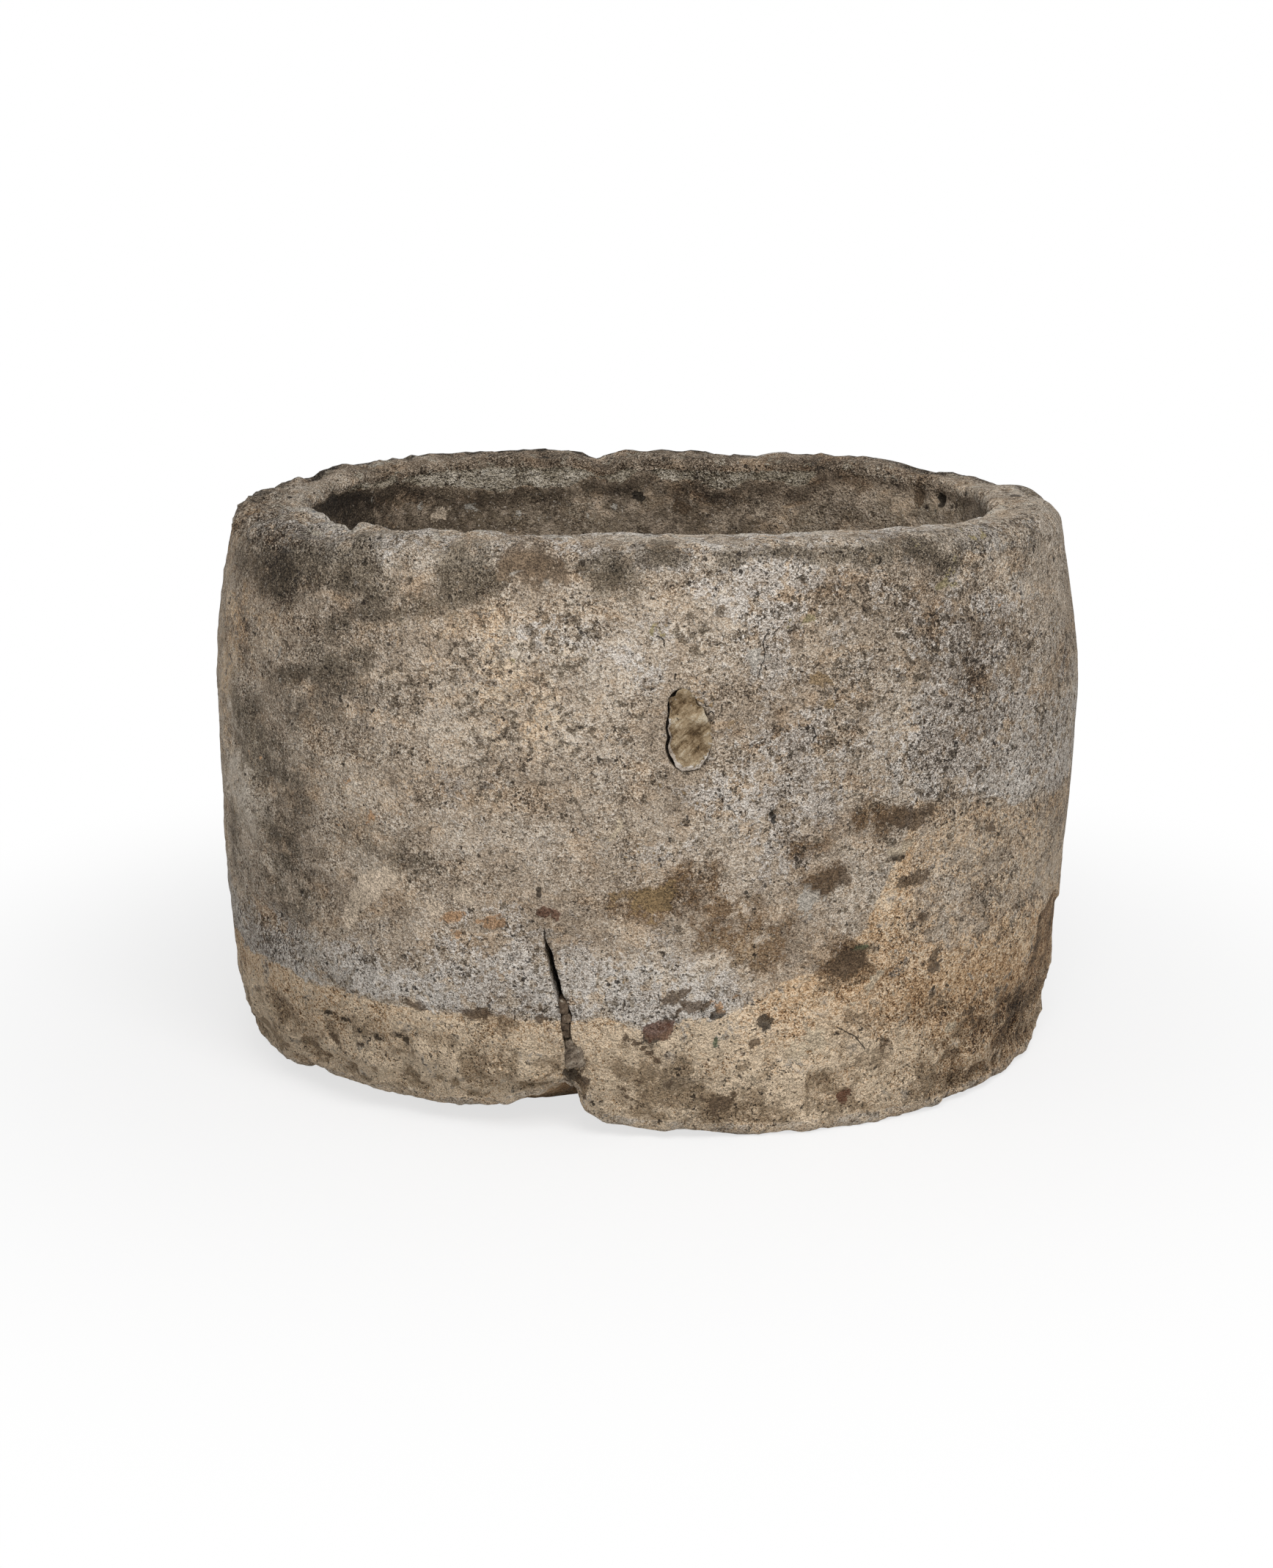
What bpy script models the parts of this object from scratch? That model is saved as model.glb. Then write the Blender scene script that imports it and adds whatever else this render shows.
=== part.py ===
"""Limestone trough cut from one block: an oval, bellied body with a worn rim and a deep basin.

Metres, +Z up. The origin is the middle of the rest face under the block. +X runs along the length to the
right end, and the front, with the plugged hole and the crack, faces -Y. Bearings are in degrees seen from
above: 0 is the right end, 90 the back, 180 the left end and 270 the front.
"""
import math

import bmesh
import bpy
import numpy as np

# The block, over its belly, and how its sides draw in to the rim and to the foot
LENGTH = 1.000
DEPTH = 0.730
HEIGHT = 0.654
BELLY_HEIGHT = 0.400
RIM_LENGTH = 0.938
RIM_DEPTH = 0.672
FOOT_LENGTH = 0.936
FOOT_DEPTH = 0.700
FOOT_CURVE = 3.5
RIM_CURVE = 2.0

# Squareness of the plan: 2 is an ellipse, more fills the corners
RIM_SQUARENESS = 2.35
BELLY_SQUARENESS = 2.2
FOOT_SQUARENESS = 2.05
BASIN_SQUARENESS = 2.85

# The left end is deeper front to back than the right end by these shares of the depth
RIM_TAPER = 0.08
BELLY_TAPER = 0.12
FOOT_TAPER = -0.05

# Worn edges
FOOT_ROUND = 0.020
RIM_ROUND_OUTSIDE = 0.024
RIM_ROUND_INSIDE = 0.012

# The basin
WALL_END = 0.082
WALL_SIDE = 0.079
FLOOR_THICKNESS = 0.120
BASIN_DRAFT = 0.034
BASIN_ROUND = 0.070

# The plugged hole through the front wall
PLUG_X = 0.042
PLUG_Z = 0.463
PLUG_WIDTH = 0.049
PLUG_HEIGHT = 0.089
PLUG_RECESS = 0.002
PLUG_CROWN = 0.0015

# The crack that opens downwards in the front
CRACK_X = -0.090
CRACK_HEIGHT = 0.242
CRACK_DEPTH = 0.060
FILL_RECESS = 0.003
MORTAR_TOP_HEIGHT = 0.119
MORTAR_BOTTOM_HEIGHT = 0.088
MORTAR_DEPTH = 0.040
CHIP_DEPTH = 0.024

# The underside of the front, broken away beside the crack
BREAK_HEIGHT = 0.062
BREAK_RUN = 0.105
BREAK_ARCH = 1.2

# The blind socket and the scooped pit in the back wall of the basin
SOCKET_WIDTH = 0.013
SOCKET_HEIGHT = 0.013
SOCKET_DEPTH = 0.030
SOCKET_BEARING = 33.5
SOCKET_DROP = 0.048
PIT_RADIUS = 0.013
PIT_SINK = 0.0039
PIT_BEARING = 38.5
PIT_DROP = 0.040

# Pieces that touch stay this far apart
SEAT_GAP = 0.0003

# How far the tools that cut the hole and the crack stand out in front of the block
CUT_REACH = 0.200

# Columns round the block, rows up its faces, and the extra rows that each worn edge gets
COLUMNS = 100
OUTSIDE_ROWS = 15
INSIDE_ROWS = 9
EDGE_ROWS = 4

# Share of a turn by which the columns are drawn in towards the crack
COLUMN_CROWDING = 0.014

# Hollows and swellings of the outside: bearing, height, spread in degrees, spread in height, outwards
SWELLINGS = (
    (190.0, 0.280, 16.0, 0.110, -0.002),
    (222.0, 0.330, 12.0, 0.090, -0.005),
    (252.0, 0.420, 14.0, 0.120, 0.003),
    (300.0, 0.480, 16.0, 0.100, 0.004),
    (335.0, 0.070, 12.0, 0.070, -0.014),
    (345.0, 0.210, 16.0, 0.110, -0.009),
    (350.0, 0.590, 14.0, 0.070, -0.005),
    (62.0, 0.350, 22.0, 0.150, 0.004),
    (128.0, 0.230, 18.0, 0.110, -0.004),
)

# Wear of the rim: bearing, spread in degrees, drop of the edge
RIM_WEAR = (
    (98.0, 3.0, 0.011),
    (128.0, 9.0, 0.003),
    (142.0, 10.0, 0.008),
    (75.0, 14.0, 0.004),
    (42.0, 7.0, 0.008),
    (24.0, 14.0, 0.0115),
    (154.0, 4.0, 0.011),
    (164.5, 5.5, 0.013),
    (174.0, 7.0, 0.006),
    (192.0, 9.0, 0.007),
    (243.0, 3.0, 0.008),
    (226.0, 10.0, 0.004),
    (270.0, 14.0, 0.002),
    (300.0, 20.0, 0.004),
    (335.0, 20.0, 0.005),
    (4.0, 8.0, 0.007),
)

# Height of the broken underside along the front: place from the crack, share of the full height
BREAK_PROFILE = (
    (-0.370, 0.00),
    (-0.312, 0.22),
    (-0.276, 0.36),
    (-0.222, 0.31),
    (-0.120, 0.34),
    (-0.070, 0.44),
    (-0.023, 0.75),
    (-0.002, 1.00),
    (0.013, 0.85),
    (0.022, 0.45),
    (0.045, 0.24),
    (0.090, 0.15),
    (0.160, 0.06),
    (0.210, 0.00),
)

# The crack from its top down: share of its height, left and right edge from its line
CRACK_OUTLINE = (
    (1.000, -0.0172, -0.0168),
    (0.905, -0.0160, -0.0134),
    (0.835, -0.0138, -0.0068),
    (0.727, -0.0082, -0.0020),
    (0.650, -0.0060, 0.0045),
    (0.612, -0.0050, 0.0072),
    (0.574, -0.0056, 0.0055),
    (0.525, -0.0028, 0.0050),
    (0.500, -0.0016, 0.0070),
    (0.480, -0.0010, 0.0150),
    (0.417, 0.0000, 0.0200),
    (0.380, 0.0030, 0.0200),
    (0.355, 0.0040, 0.0150),
    (0.228, 0.0060, 0.0170),
)

# The wedged chips from the top down: bottom and top as shares of the crack's height, and how much of the
# crack's width each fills from the left edge and from the right edge
CHIPS = (
    (0.622, 0.690, 0.00, 0.02),
    (0.586, 0.614, 0.45, 0.00),
    (0.545, 0.582, 0.00, 0.06),
    (0.508, 0.541, 0.00, 0.00),
)

# A chip's outline from its bottom up: share of its height, and how far it draws in from its place
CHIP_SIDES = (
    (0.00, 0.15),
    (0.25, 0.00),
    (0.70, 0.00),
    (1.00, 0.15),
)

# A wedged stone or lump from its front to its back: share of its outline, share of its depth
PEBBLE_RINGS = (
    (0.55, 0.00),
    (0.90, 0.12),
    (1.00, 0.35),
    (0.90, 0.80),
    (0.60, 1.00),
)

# The plug's face from its middle out: share of its outline, share of the crown by which it falls away
PLUG_FACE = (
    (0.45, 0.0),
    (0.80, 0.3),
    (1.00, 1.0),
)

# Outline of the hole, as shares of half its width and half its height
PLUG_OUTLINE = (
    (-0.33, 1.00),
    (-0.76, 0.70),
    (-0.90, 0.11),
    (-1.00, -0.27),
    (-0.65, -0.79),
    (-0.12, -0.97),
    (0.41, -1.00),
    (0.97, -0.59),
    (0.97, 0.00),
    (0.74, 0.25),
    (0.78, 0.54),
    (0.25, 0.75),
    (-0.04, 0.88),
)


def clear_scene():
    for obj in list(bpy.data.objects):
        bpy.data.objects.remove(obj, do_unlink=True)


def make_material(name, color, roughness):
    material = bpy.data.materials.new(name)
    material.use_nodes = True
    shader = material.node_tree.nodes["Principled BSDF"]
    shader.inputs["Base Color"].default_value = (*color, 1.0)
    shader.inputs["Roughness"].default_value = roughness
    shader.inputs["Metallic"].default_value = 0.0
    return material


def bump(distance, spread):
    """A smooth hump: 1 at distance 0, nearly nothing past twice the spread."""
    return np.exp(-((distance / spread) ** 2))


def turn_between(bearing, centre):
    """Degrees from centre to bearing by the shorter way round."""
    return (np.asarray(bearing) - centre + 180.0) % 360.0 - 180.0


def sizes_at(height):
    """Half length, half depth, squareness and taper of the outside at a height."""
    if height < BELLY_HEIGHT:
        share = ((BELLY_HEIGHT - height) / BELLY_HEIGHT) ** FOOT_CURVE
        edge = (FOOT_LENGTH, FOOT_DEPTH, FOOT_SQUARENESS, FOOT_TAPER)
    else:
        share = ((height - BELLY_HEIGHT) / (HEIGHT - BELLY_HEIGHT)) ** RIM_CURVE
        edge = (RIM_LENGTH, RIM_DEPTH, RIM_SQUARENESS, RIM_TAPER)
    belly = (LENGTH, DEPTH, BELLY_SQUARENESS, BELLY_TAPER)
    length, depth, squareness, taper = (b + (e - b) * share for b, e in zip(belly, edge))
    return length / 2, depth / 2, squareness, taper


def oval(half_length, half_depth, squareness, taper, bearings):
    """A superellipse drawn out at its left end, as two arrays, x and y, for the bearings.

    x = a r cos t and y = b r sin t (1 - taper x / a), with r = (|cos t|^n + |sin t|^n)^(-1/n).
    """
    turn = np.radians(bearings)
    cos = np.cos(turn)
    sin = np.sin(turn)
    reach = (np.abs(cos) ** squareness + np.abs(sin) ** squareness) ** (-1.0 / squareness)
    return half_length * reach * cos, half_depth * reach * sin * (1.0 - taper * reach * cos)


def rim_drop(bearings):
    """How far the worn rim lies under the full height."""
    drop = np.zeros_like(bearings)
    for bearing, spread, depth in RIM_WEAR:
        drop = drop + depth * bump(turn_between(bearings, bearing), spread)
    return drop


def break_height(x, y):
    """Height of the broken underside at a place on the foot, nothing on the back half."""
    places = [place for place, share in BREAK_PROFILE]
    shares = [share for place, share in BREAK_PROFILE]
    height = BREAK_HEIGHT * np.interp(x - CRACK_X, places, shares)
    return np.where(y < 0.0, height, 0.0)


def outside(height, bearings, inset=0.0):
    """Points of the outside skin at a nominal height, drawn in by an inset: arrays x, y, z."""
    half_length, half_depth, squareness, taper = sizes_at(height)
    out = np.zeros_like(bearings)
    for bearing, level, spread, reach, amount in SWELLINGS:
        out = out + amount * bump(turn_between(bearings, bearing), spread) * bump(height - level, reach)
    x, y = oval(half_length - inset, half_depth - inset, squareness, taper, bearings)
    x = x + out * np.cos(np.radians(bearings))
    y = y + out * np.sin(np.radians(bearings))
    share = min(max((height - BELLY_HEIGHT) / (HEIGHT - BELLY_HEIGHT), 0.0), 1.0)
    lift = max(1.0 - height / BELLY_HEIGHT, 0.0) ** 2
    z = height - rim_drop(bearings) * share**2 + break_height(x, y) * lift
    return x, y, z


def basin(height, bearings, inset=0.0):
    """Points of the basin's skin at a nominal height, drawn in by an inset: arrays x, y, z."""
    rise = (height - FLOOR_THICKNESS) / (HEIGHT - FLOOR_THICKNESS)
    lean = BASIN_DRAFT * (1.0 - rise) + inset
    half_length = RIM_LENGTH / 2 - WALL_END - lean
    half_depth = RIM_DEPTH / 2 - WALL_SIDE - lean
    x, y = oval(half_length, half_depth, BASIN_SQUARENESS, RIM_TAPER, bearings)
    z = height - rim_drop(bearings) * max(rise, 0.0) ** 6
    return x, y, z


def face_y(skin, x, z):
    """Depth of a skin at a place x, z on the front, found by halving the bearing's range."""
    low, high = 180.0, 360.0
    for _ in range(30):
        middle = (low + high) / 2
        if skin(z, np.array([middle]))[0][0] < x:
            low = middle
        else:
            high = middle
    return float(skin(z, np.array([low]))[1][0])


def column_bearings():
    """Bearings of the loft's columns, set closer together beside the crack."""
    even = np.arange(COLUMNS) / COLUMNS
    crack = 180.0 + math.degrees(math.acos(-CRACK_X / (LENGTH / 2)))
    crowding = COLUMN_CROWDING * np.sin(2.0 * np.pi * (even - crack / 360.0))
    return 360.0 * (even - crowding)


def mesh_object(name, mesh_builder, material, smooth_angle=40.0):
    """A closed mesh from a bmesh, shaded smooth except across sharp edges."""
    mesh = bpy.data.meshes.new(name)
    bmesh.ops.recalc_face_normals(mesh_builder, faces=mesh_builder.faces)
    mesh_builder.to_mesh(mesh)
    mesh_builder.free()
    mesh.shade_smooth()
    mesh.set_sharp_from_angle(angle=math.radians(smooth_angle))
    obj = bpy.data.objects.new(name, mesh)
    bpy.context.scene.collection.objects.link(obj)
    if material:
        mesh.materials.append(material)
    return obj


def loft(rings):
    """A closed body over rings of equal count: quads between the rings and a flat cap on each end."""
    builder = bmesh.new()
    loops = [[builder.verts.new(point) for point in ring] for ring in rings]
    for lower, upper in zip(loops, loops[1:]):
        for index in range(len(lower)):
            following = (index + 1) % len(lower)
            builder.faces.new((lower[index], lower[following], upper[following], upper[index]))
    builder.faces.new(list(reversed(loops[0])))
    builder.faces.new(loops[-1])
    return builder


def cut(target, cutter):
    """Take the cutter's shape out of the target."""
    cutter.hide_render = True
    cutter.display_type = "WIRE"
    boolean = target.modifiers.new(cutter.name, "BOOLEAN")
    boolean.operation = "DIFFERENCE"
    boolean.solver = "EXACT"
    boolean.object = cutter


def quarter_turn(rows):
    """Angles from 0 to 90 degrees, in radians, for a worn edge drawn in so many rows."""
    return [math.pi / 2 * row / rows for row in range(rows + 1)]


def trough_rings():
    """Rings of the whole block: the rest face, up the outside, over the rim, down to the basin's floor."""
    bearings = column_bearings()
    rings = []

    foot_x, foot_y, _ = outside(0.0, bearings, FOOT_ROUND)
    broken = break_height(foot_x, foot_y) / BREAK_HEIGHT
    for step in (1.0, 0.5):
        pull = FOOT_ROUND + BREAK_RUN * np.sqrt(broken) * step
        share = 1.0 - pull / np.hypot(foot_x, foot_y)
        arch = broken * BREAK_HEIGHT * (1.0 - step) * BREAK_ARCH
        rings.append((foot_x * share, foot_y * share, arch))

    for angle in quarter_turn(EDGE_ROWS):
        inset = FOOT_ROUND * (1.0 - math.sin(angle))
        rings.append(outside(FOOT_ROUND * (1.0 - math.cos(angle)), bearings, inset))
    wall_top = HEIGHT - RIM_ROUND_OUTSIDE
    for row in range(1, OUTSIDE_ROWS):
        height = FOOT_ROUND + (wall_top - FOOT_ROUND) * row / OUTSIDE_ROWS
        rings.append(outside(height, bearings))
    for angle in quarter_turn(EDGE_ROWS):
        inset = RIM_ROUND_OUTSIDE * (1.0 - math.cos(angle))
        rings.append(outside(wall_top + RIM_ROUND_OUTSIDE * math.sin(angle), bearings, inset))

    lip = HEIGHT - RIM_ROUND_INSIDE
    for angle in reversed(quarter_turn(EDGE_ROWS)):
        inset = -RIM_ROUND_INSIDE * (1.0 - math.cos(angle))
        rings.append(basin(lip + RIM_ROUND_INSIDE * math.sin(angle), bearings, inset))
    floor_top = FLOOR_THICKNESS + BASIN_ROUND
    for row in range(1, INSIDE_ROWS):
        rings.append(basin(lip + (floor_top - lip) * row / INSIDE_ROWS, bearings))
    for angle in quarter_turn(EDGE_ROWS):
        inset = BASIN_ROUND * (1.0 - math.cos(angle))
        rings.append(basin(floor_top - BASIN_ROUND * math.sin(angle), bearings, inset))
    return [list(zip(*(values.tolist() for values in ring))) for ring in rings]


def crack_rows():
    """The crack's outline as rows of height, left edge and right edge."""
    return [(share * CRACK_HEIGHT, CRACK_X + left, CRACK_X + right) for share, left, right in CRACK_OUTLINE]


def crack_edges(height):
    """Left and right edge of the crack at a height."""
    rows = sorted(crack_rows())
    heights = [row[0] for row in rows]
    left = float(np.interp(height, heights, [row[1] for row in rows]))
    right = float(np.interp(height, heights, [row[2] for row in rows]))
    return left, right


def upright_prism(outline, front, back):
    """A prism over an outline of x, z points, from depth front to depth back."""
    rings = [[(x, depth, z) for x, z in outline] for depth in (front, back)]
    return loft(rings)


def crack_cutter():
    """The open crack, from its tip down through the broken underside."""
    rows = crack_rows()
    foot_left, foot_right = rows[-1][1], rows[-1][2]
    below = -FOOT_ROUND
    left = [(row[1], row[0]) for row in rows] + [(foot_left, below)]
    right = [(row[2], row[0]) for row in reversed(rows)]
    outline = left + [(foot_right, below)] + right
    face = face_y(outside, CRACK_X, CRACK_HEIGHT / 2)
    return mesh_object("cutter_crack", upright_prism(outline, face - CUT_REACH, face + CRACK_DEPTH), None)


def plug_points(clearance):
    """The hole's outline, drawn in by a clearance: x, z points."""
    half_width = PLUG_WIDTH / 2 - clearance
    half_height = PLUG_HEIGHT / 2 - clearance
    return [(PLUG_X + across * half_width, PLUG_Z + up * half_height) for across, up in PLUG_OUTLINE]


def hole_cutter():
    """The hole, right through the front wall."""
    face = face_y(outside, PLUG_X, PLUG_Z)
    inner = face_y(basin, PLUG_X, PLUG_Z)
    prism = upright_prism(plug_points(0.0), face - CUT_REACH, inner + WALL_SIDE)
    return mesh_object("cutter_hole", prism, None)


def basin_wall_frame(bearing, drop):
    """A point on the basin's wall, under the rim, and its level outward direction."""
    bearings = np.array([bearing - 0.5, bearing, bearing + 0.5])
    x, y, z = basin(HEIGHT - drop, bearings)
    along_x, along_y = x[2] - x[0], y[2] - y[0]
    length = math.hypot(along_x, along_y)
    return (float(x[1]), float(y[1]), HEIGHT - drop), (along_y / length, -along_x / length)


def socket_cutter():
    """A square blind socket, cut square to the basin's wall."""
    (x, y, z), (out_x, out_y) = basin_wall_frame(SOCKET_BEARING, SOCKET_DROP)
    builder = bmesh.new()
    bmesh.ops.create_cube(builder, size=1.0)
    bmesh.ops.scale(builder, vec=(2 * SOCKET_DEPTH, SOCKET_WIDTH, SOCKET_HEIGHT), verts=builder.verts)
    obj = mesh_object("cutter_socket", builder, None)
    obj.location = (x, y, z)
    obj.rotation_euler = (0.0, 0.0, math.atan2(out_y, out_x))
    return obj


def pit_cutter():
    """A shallow scoop beside the socket."""
    (x, y, z), (out_x, out_y) = basin_wall_frame(PIT_BEARING, PIT_DROP)
    builder = bmesh.new()
    bmesh.ops.create_icosphere(builder, subdivisions=2, radius=PIT_RADIUS)
    obj = mesh_object("cutter_pit", builder, None)
    obj.location = (x - out_x * PIT_SINK, y - out_y * PIT_SINK, z)
    return obj


def make_trough():
    """The block with its hole, crack, socket and pit cut out."""
    stone = make_material("limestone", (0.36, 0.31, 0.25), 0.92)
    trough = mesh_object("stone_trough", loft(trough_rings()), stone)
    for cutter in (hole_cutter(), crack_cutter(), socket_cutter(), pit_cutter()):
        cut(trough, cutter)
    return trough


def make_plug():
    """Mortar that fills the hole from face to face, a little sunk and crowned at both ends."""
    mortar = make_material("plug_mortar", (0.38, 0.33, 0.24), 0.95)
    outline = plug_points(SEAT_GAP)
    rings = []
    for skin, sign in ((outside, 1.0), (basin, -1.0)):
        end = []
        for share, crown in PLUG_FACE:
            ring = []
            for x, z in outline:
                px = PLUG_X + (x - PLUG_X) * share
                pz = PLUG_Z + (z - PLUG_Z) * share
                sunk = PLUG_RECESS + PLUG_CROWN * crown
                ring.append((px, face_y(skin, px, pz) + sign * sunk, pz))
            end.append(ring)
        rings.extend(end if sign > 0 else reversed(end))
    return mesh_object("hole_plug", loft(rings), mortar)


def pebble(name, outline, depth, material):
    """A stone or a lump with the outline at its waist, drawn in towards its front and its back."""
    mid_x = sum(x for x, z in outline) / len(outline)
    mid_z = sum(z for x, z in outline) / len(outline)
    front = face_y(outside, mid_x, mid_z) + FILL_RECESS
    rings = []
    for share, way in PEBBLE_RINGS:
        y = front + depth * way
        rings.append([(mid_x + (x - mid_x) * share, y, mid_z + (z - mid_z) * share) for x, z in outline])
    return mesh_object(name, loft(rings), material)


def make_chips():
    """Small stones wedged in the crack, each touching both of its edges or its neighbour."""
    grey = make_material("chip_stone", (0.13, 0.11, 0.095), 0.9)
    for number, (bottom, top, from_left, from_right) in enumerate(CHIPS, start=1):
        low = bottom * CRACK_HEIGHT
        high = top * CRACK_HEIGHT
        left_side = []
        right_side = []
        for share, draw in CHIP_SIDES:
            z = low + (high - low) * share
            left, right = crack_edges(z)
            width = right - left
            pull = draw * (1.0 - from_left)
            start = left + SEAT_GAP + width * (from_left + pull)
            end = right - SEAT_GAP - width * (from_right + pull)
            left_side.append((start, z))
            right_side.append((end, z))
        pebble("crack_chip_%d" % number, left_side + right_side[::-1], CHIP_DEPTH, grey)


def make_crack_mortar():
    """Mortar pressed into the wide foot of the crack."""
    mortar = make_material("crack_mortar", (0.24, 0.22, 0.19), 0.95)
    levels = np.linspace(MORTAR_BOTTOM_HEIGHT, MORTAR_TOP_HEIGHT, 6)
    left_side = [(crack_edges(z)[0] + SEAT_GAP, float(z)) for z in levels]
    right_side = [(crack_edges(z)[1] - SEAT_GAP, float(z)) for z in levels]
    pebble("crack_mortar", left_side + right_side[::-1], MORTAR_DEPTH, mortar)


clear_scene()
make_trough()
make_plug()
make_crack_mortar()
make_chips()
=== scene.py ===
"""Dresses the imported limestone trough: a detailed block, its mortar and stones, a camera and a soft light.

Metres and the frame of the CAD part: +X to the right end, the front faces -Y, +Z up. Bearings are degrees
seen from above: 0 the right end, 90 the back, 180 the left end, 270 the front.
"""

import math

import bpy
import numpy as np
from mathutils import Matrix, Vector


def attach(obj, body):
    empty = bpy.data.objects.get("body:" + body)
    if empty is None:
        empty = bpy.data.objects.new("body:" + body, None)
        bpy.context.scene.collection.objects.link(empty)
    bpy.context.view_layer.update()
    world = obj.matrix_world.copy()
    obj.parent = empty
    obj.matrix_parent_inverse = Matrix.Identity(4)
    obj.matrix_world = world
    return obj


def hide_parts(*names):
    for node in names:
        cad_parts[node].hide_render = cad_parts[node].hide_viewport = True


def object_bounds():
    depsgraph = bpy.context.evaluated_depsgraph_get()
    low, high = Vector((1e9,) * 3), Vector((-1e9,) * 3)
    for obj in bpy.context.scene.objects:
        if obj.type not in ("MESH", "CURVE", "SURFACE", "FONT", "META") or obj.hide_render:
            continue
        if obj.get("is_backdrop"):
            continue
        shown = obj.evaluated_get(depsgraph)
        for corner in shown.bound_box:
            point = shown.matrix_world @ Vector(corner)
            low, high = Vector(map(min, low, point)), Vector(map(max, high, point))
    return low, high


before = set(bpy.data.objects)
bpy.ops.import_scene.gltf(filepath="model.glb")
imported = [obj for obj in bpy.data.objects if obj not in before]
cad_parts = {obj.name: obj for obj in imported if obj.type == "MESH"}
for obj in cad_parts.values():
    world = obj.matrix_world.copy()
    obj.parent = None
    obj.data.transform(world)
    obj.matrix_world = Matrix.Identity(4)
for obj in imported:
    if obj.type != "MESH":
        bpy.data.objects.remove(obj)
cad_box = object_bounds()

# The stage. A pale floor that fades into a white ground, a soft even sky and one large soft lamp above the
# camera and a little to its right. The camera has the place and the lens that fit the photograph's outline.
CAMERA_PLACE = (-0.0135, -2.897, 1.1334)
CAMERA_PITCH = 0.2792
PHOTO_WIDTH = 1736.0
FOCAL_PIXELS = 3459.6
SENSOR = 36.0
SKY_STRENGTH = 0.52
LAMP_WATTS = 72.0
LAMP_SIZE = (1.8, 1.5)
LAMP_PLACE = (0.5, -2.2, 2.8)
LAMP_TILT, LAMP_TURN = math.radians(41.4), math.radians(13.4)
FLOOR_REACH = 9.0
FLOOR_PALE = (0.86, 0.86, 0.86, 1.0)
FLOOR_FADE_START, FLOOR_FADE_END = 0.55, 1.25
FLOOR_WHITENESS = 0.70
WHITE = (1.0, 1.0, 1.0, 1.0)


def linear(color):
    """A linear colour from sRGB numbers between 0 and 255."""
    share = np.array(color, dtype=float) / 255.0
    value = np.where(share <= 0.04045, share / 12.92, ((share + 0.055) / 1.055) ** 2.4)
    return (*value.tolist(), 1.0)


scene = bpy.context.scene
scene.view_settings.view_transform = "Standard"

camera_data = bpy.data.cameras.new("camera")
camera_data.sensor_fit = "HORIZONTAL"
camera_data.sensor_width = SENSOR
camera_data.lens = FOCAL_PIXELS / PHOTO_WIDTH * SENSOR
camera = bpy.data.objects.new("camera", camera_data)
camera.location = CAMERA_PLACE
camera.rotation_euler = (math.pi / 2 - CAMERA_PITCH, 0.0, 0.0)
scene.collection.objects.link(camera)
scene.camera = camera


class Graph:
    """Adds shader nodes to a material, with sockets or plain numbers as their inputs."""

    def __init__(self, tree):
        self.tree = tree

    def node(self, kind, inputs=None, **settings):
        """A new node, with its settings, and each input linked to a socket or set to a value."""
        made = self.tree.nodes.new(kind)
        for name, value in settings.items():
            setattr(made, name, value)
        for key, value in (inputs or {}).items():
            if isinstance(value, bpy.types.NodeSocket):
                self.tree.links.new(value, made.inputs[key])
            else:
                made.inputs[key].default_value = value
        return made

    def math(self, operation, first, second=0.0):
        """A math node over one or two inputs."""
        return self.node("ShaderNodeMath", {0: first, 1: second}, operation=operation).outputs[0]

    def add(self, *values):
        """The sum of the values."""
        total = values[0]
        for value in values[1:]:
            total = self.math("ADD", total, value)
        return total

    def times(self, first, second):
        """first times second."""
        return self.math("MULTIPLY", first, second)

    def centred(self, value, gain):
        """(value - 0.5) gain."""
        return self.times(self.add(value, -0.5), gain)

    def weighted(self, *pairs):
        """The sum of value times weight over the pairs."""
        return self.add(*(self.times(value, weight) for value, weight in pairs))

    def ramp(self, value, low, high, to_low=0.0, to_high=1.0):
        """A smooth step from to_low, where value is low or less, to to_high, where it is high or more."""
        inputs = {0: value, 1: low, 2: high, 3: to_low, 4: to_high}
        made = self.node("ShaderNodeMapRange", inputs, interpolation_type="SMOOTHSTEP")
        return made.outputs[0]

    def mix(self, share, first, second, blend="MIX"):
        """first (1 - share) + second share, or another way of blending."""
        made = self.node("ShaderNodeMix", {0: share, 6: first, 7: second}, data_type="RGBA", blend_type=blend)
        return made.outputs[2]

    def palette(self, value, colors):
        """A colour read from a row of sRGB colours, spread evenly over the values from 0 to 1."""
        made = self.node("ShaderNodeValToRGB", {"Fac": value})
        row = made.color_ramp.elements
        while len(row) < len(colors):
            row.new(0.5)
        for number, (element, color) in enumerate(zip(row, colors)):
            element.position = number / (len(colors) - 1)
            element.color = linear(color)
        return made.outputs["Color"]

    def noise(self, place, scale, detail=2.0, roughness=0.5, distortion=0.0):
        """Soft noise about 0.5, its scale in waves to the metre."""
        inputs = {"Vector": place, "Scale": scale, "Detail": detail, "Roughness": roughness}
        made = self.node("ShaderNodeTexNoise", {**inputs, "Distortion": distortion})
        return made.outputs["Fac"]

    def cells(self, place, scale):
        """The distance to the nearest of scattered points, in cells, and that point's own colour."""
        made = self.node("ShaderNodeTexVoronoi", {"Vector": place, "Scale": scale})
        return made.outputs["Distance"], made.outputs["Color"]

    def attribute(self, name):
        """The number stored at each point of the mesh."""
        return self.node("ShaderNodeAttribute", attribute_name=name).outputs["Fac"]

    def paint(self, name):
        """The colour stored at each point of the mesh."""
        return self.node("ShaderNodeAttribute", attribute_name=name).outputs["Color"]

    def stretched(self, place, size):
        """A place scaled by size along each axis."""
        made = self.node("ShaderNodeMapping", {"Vector": place, "Scale": size})
        return made.outputs[0]


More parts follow.
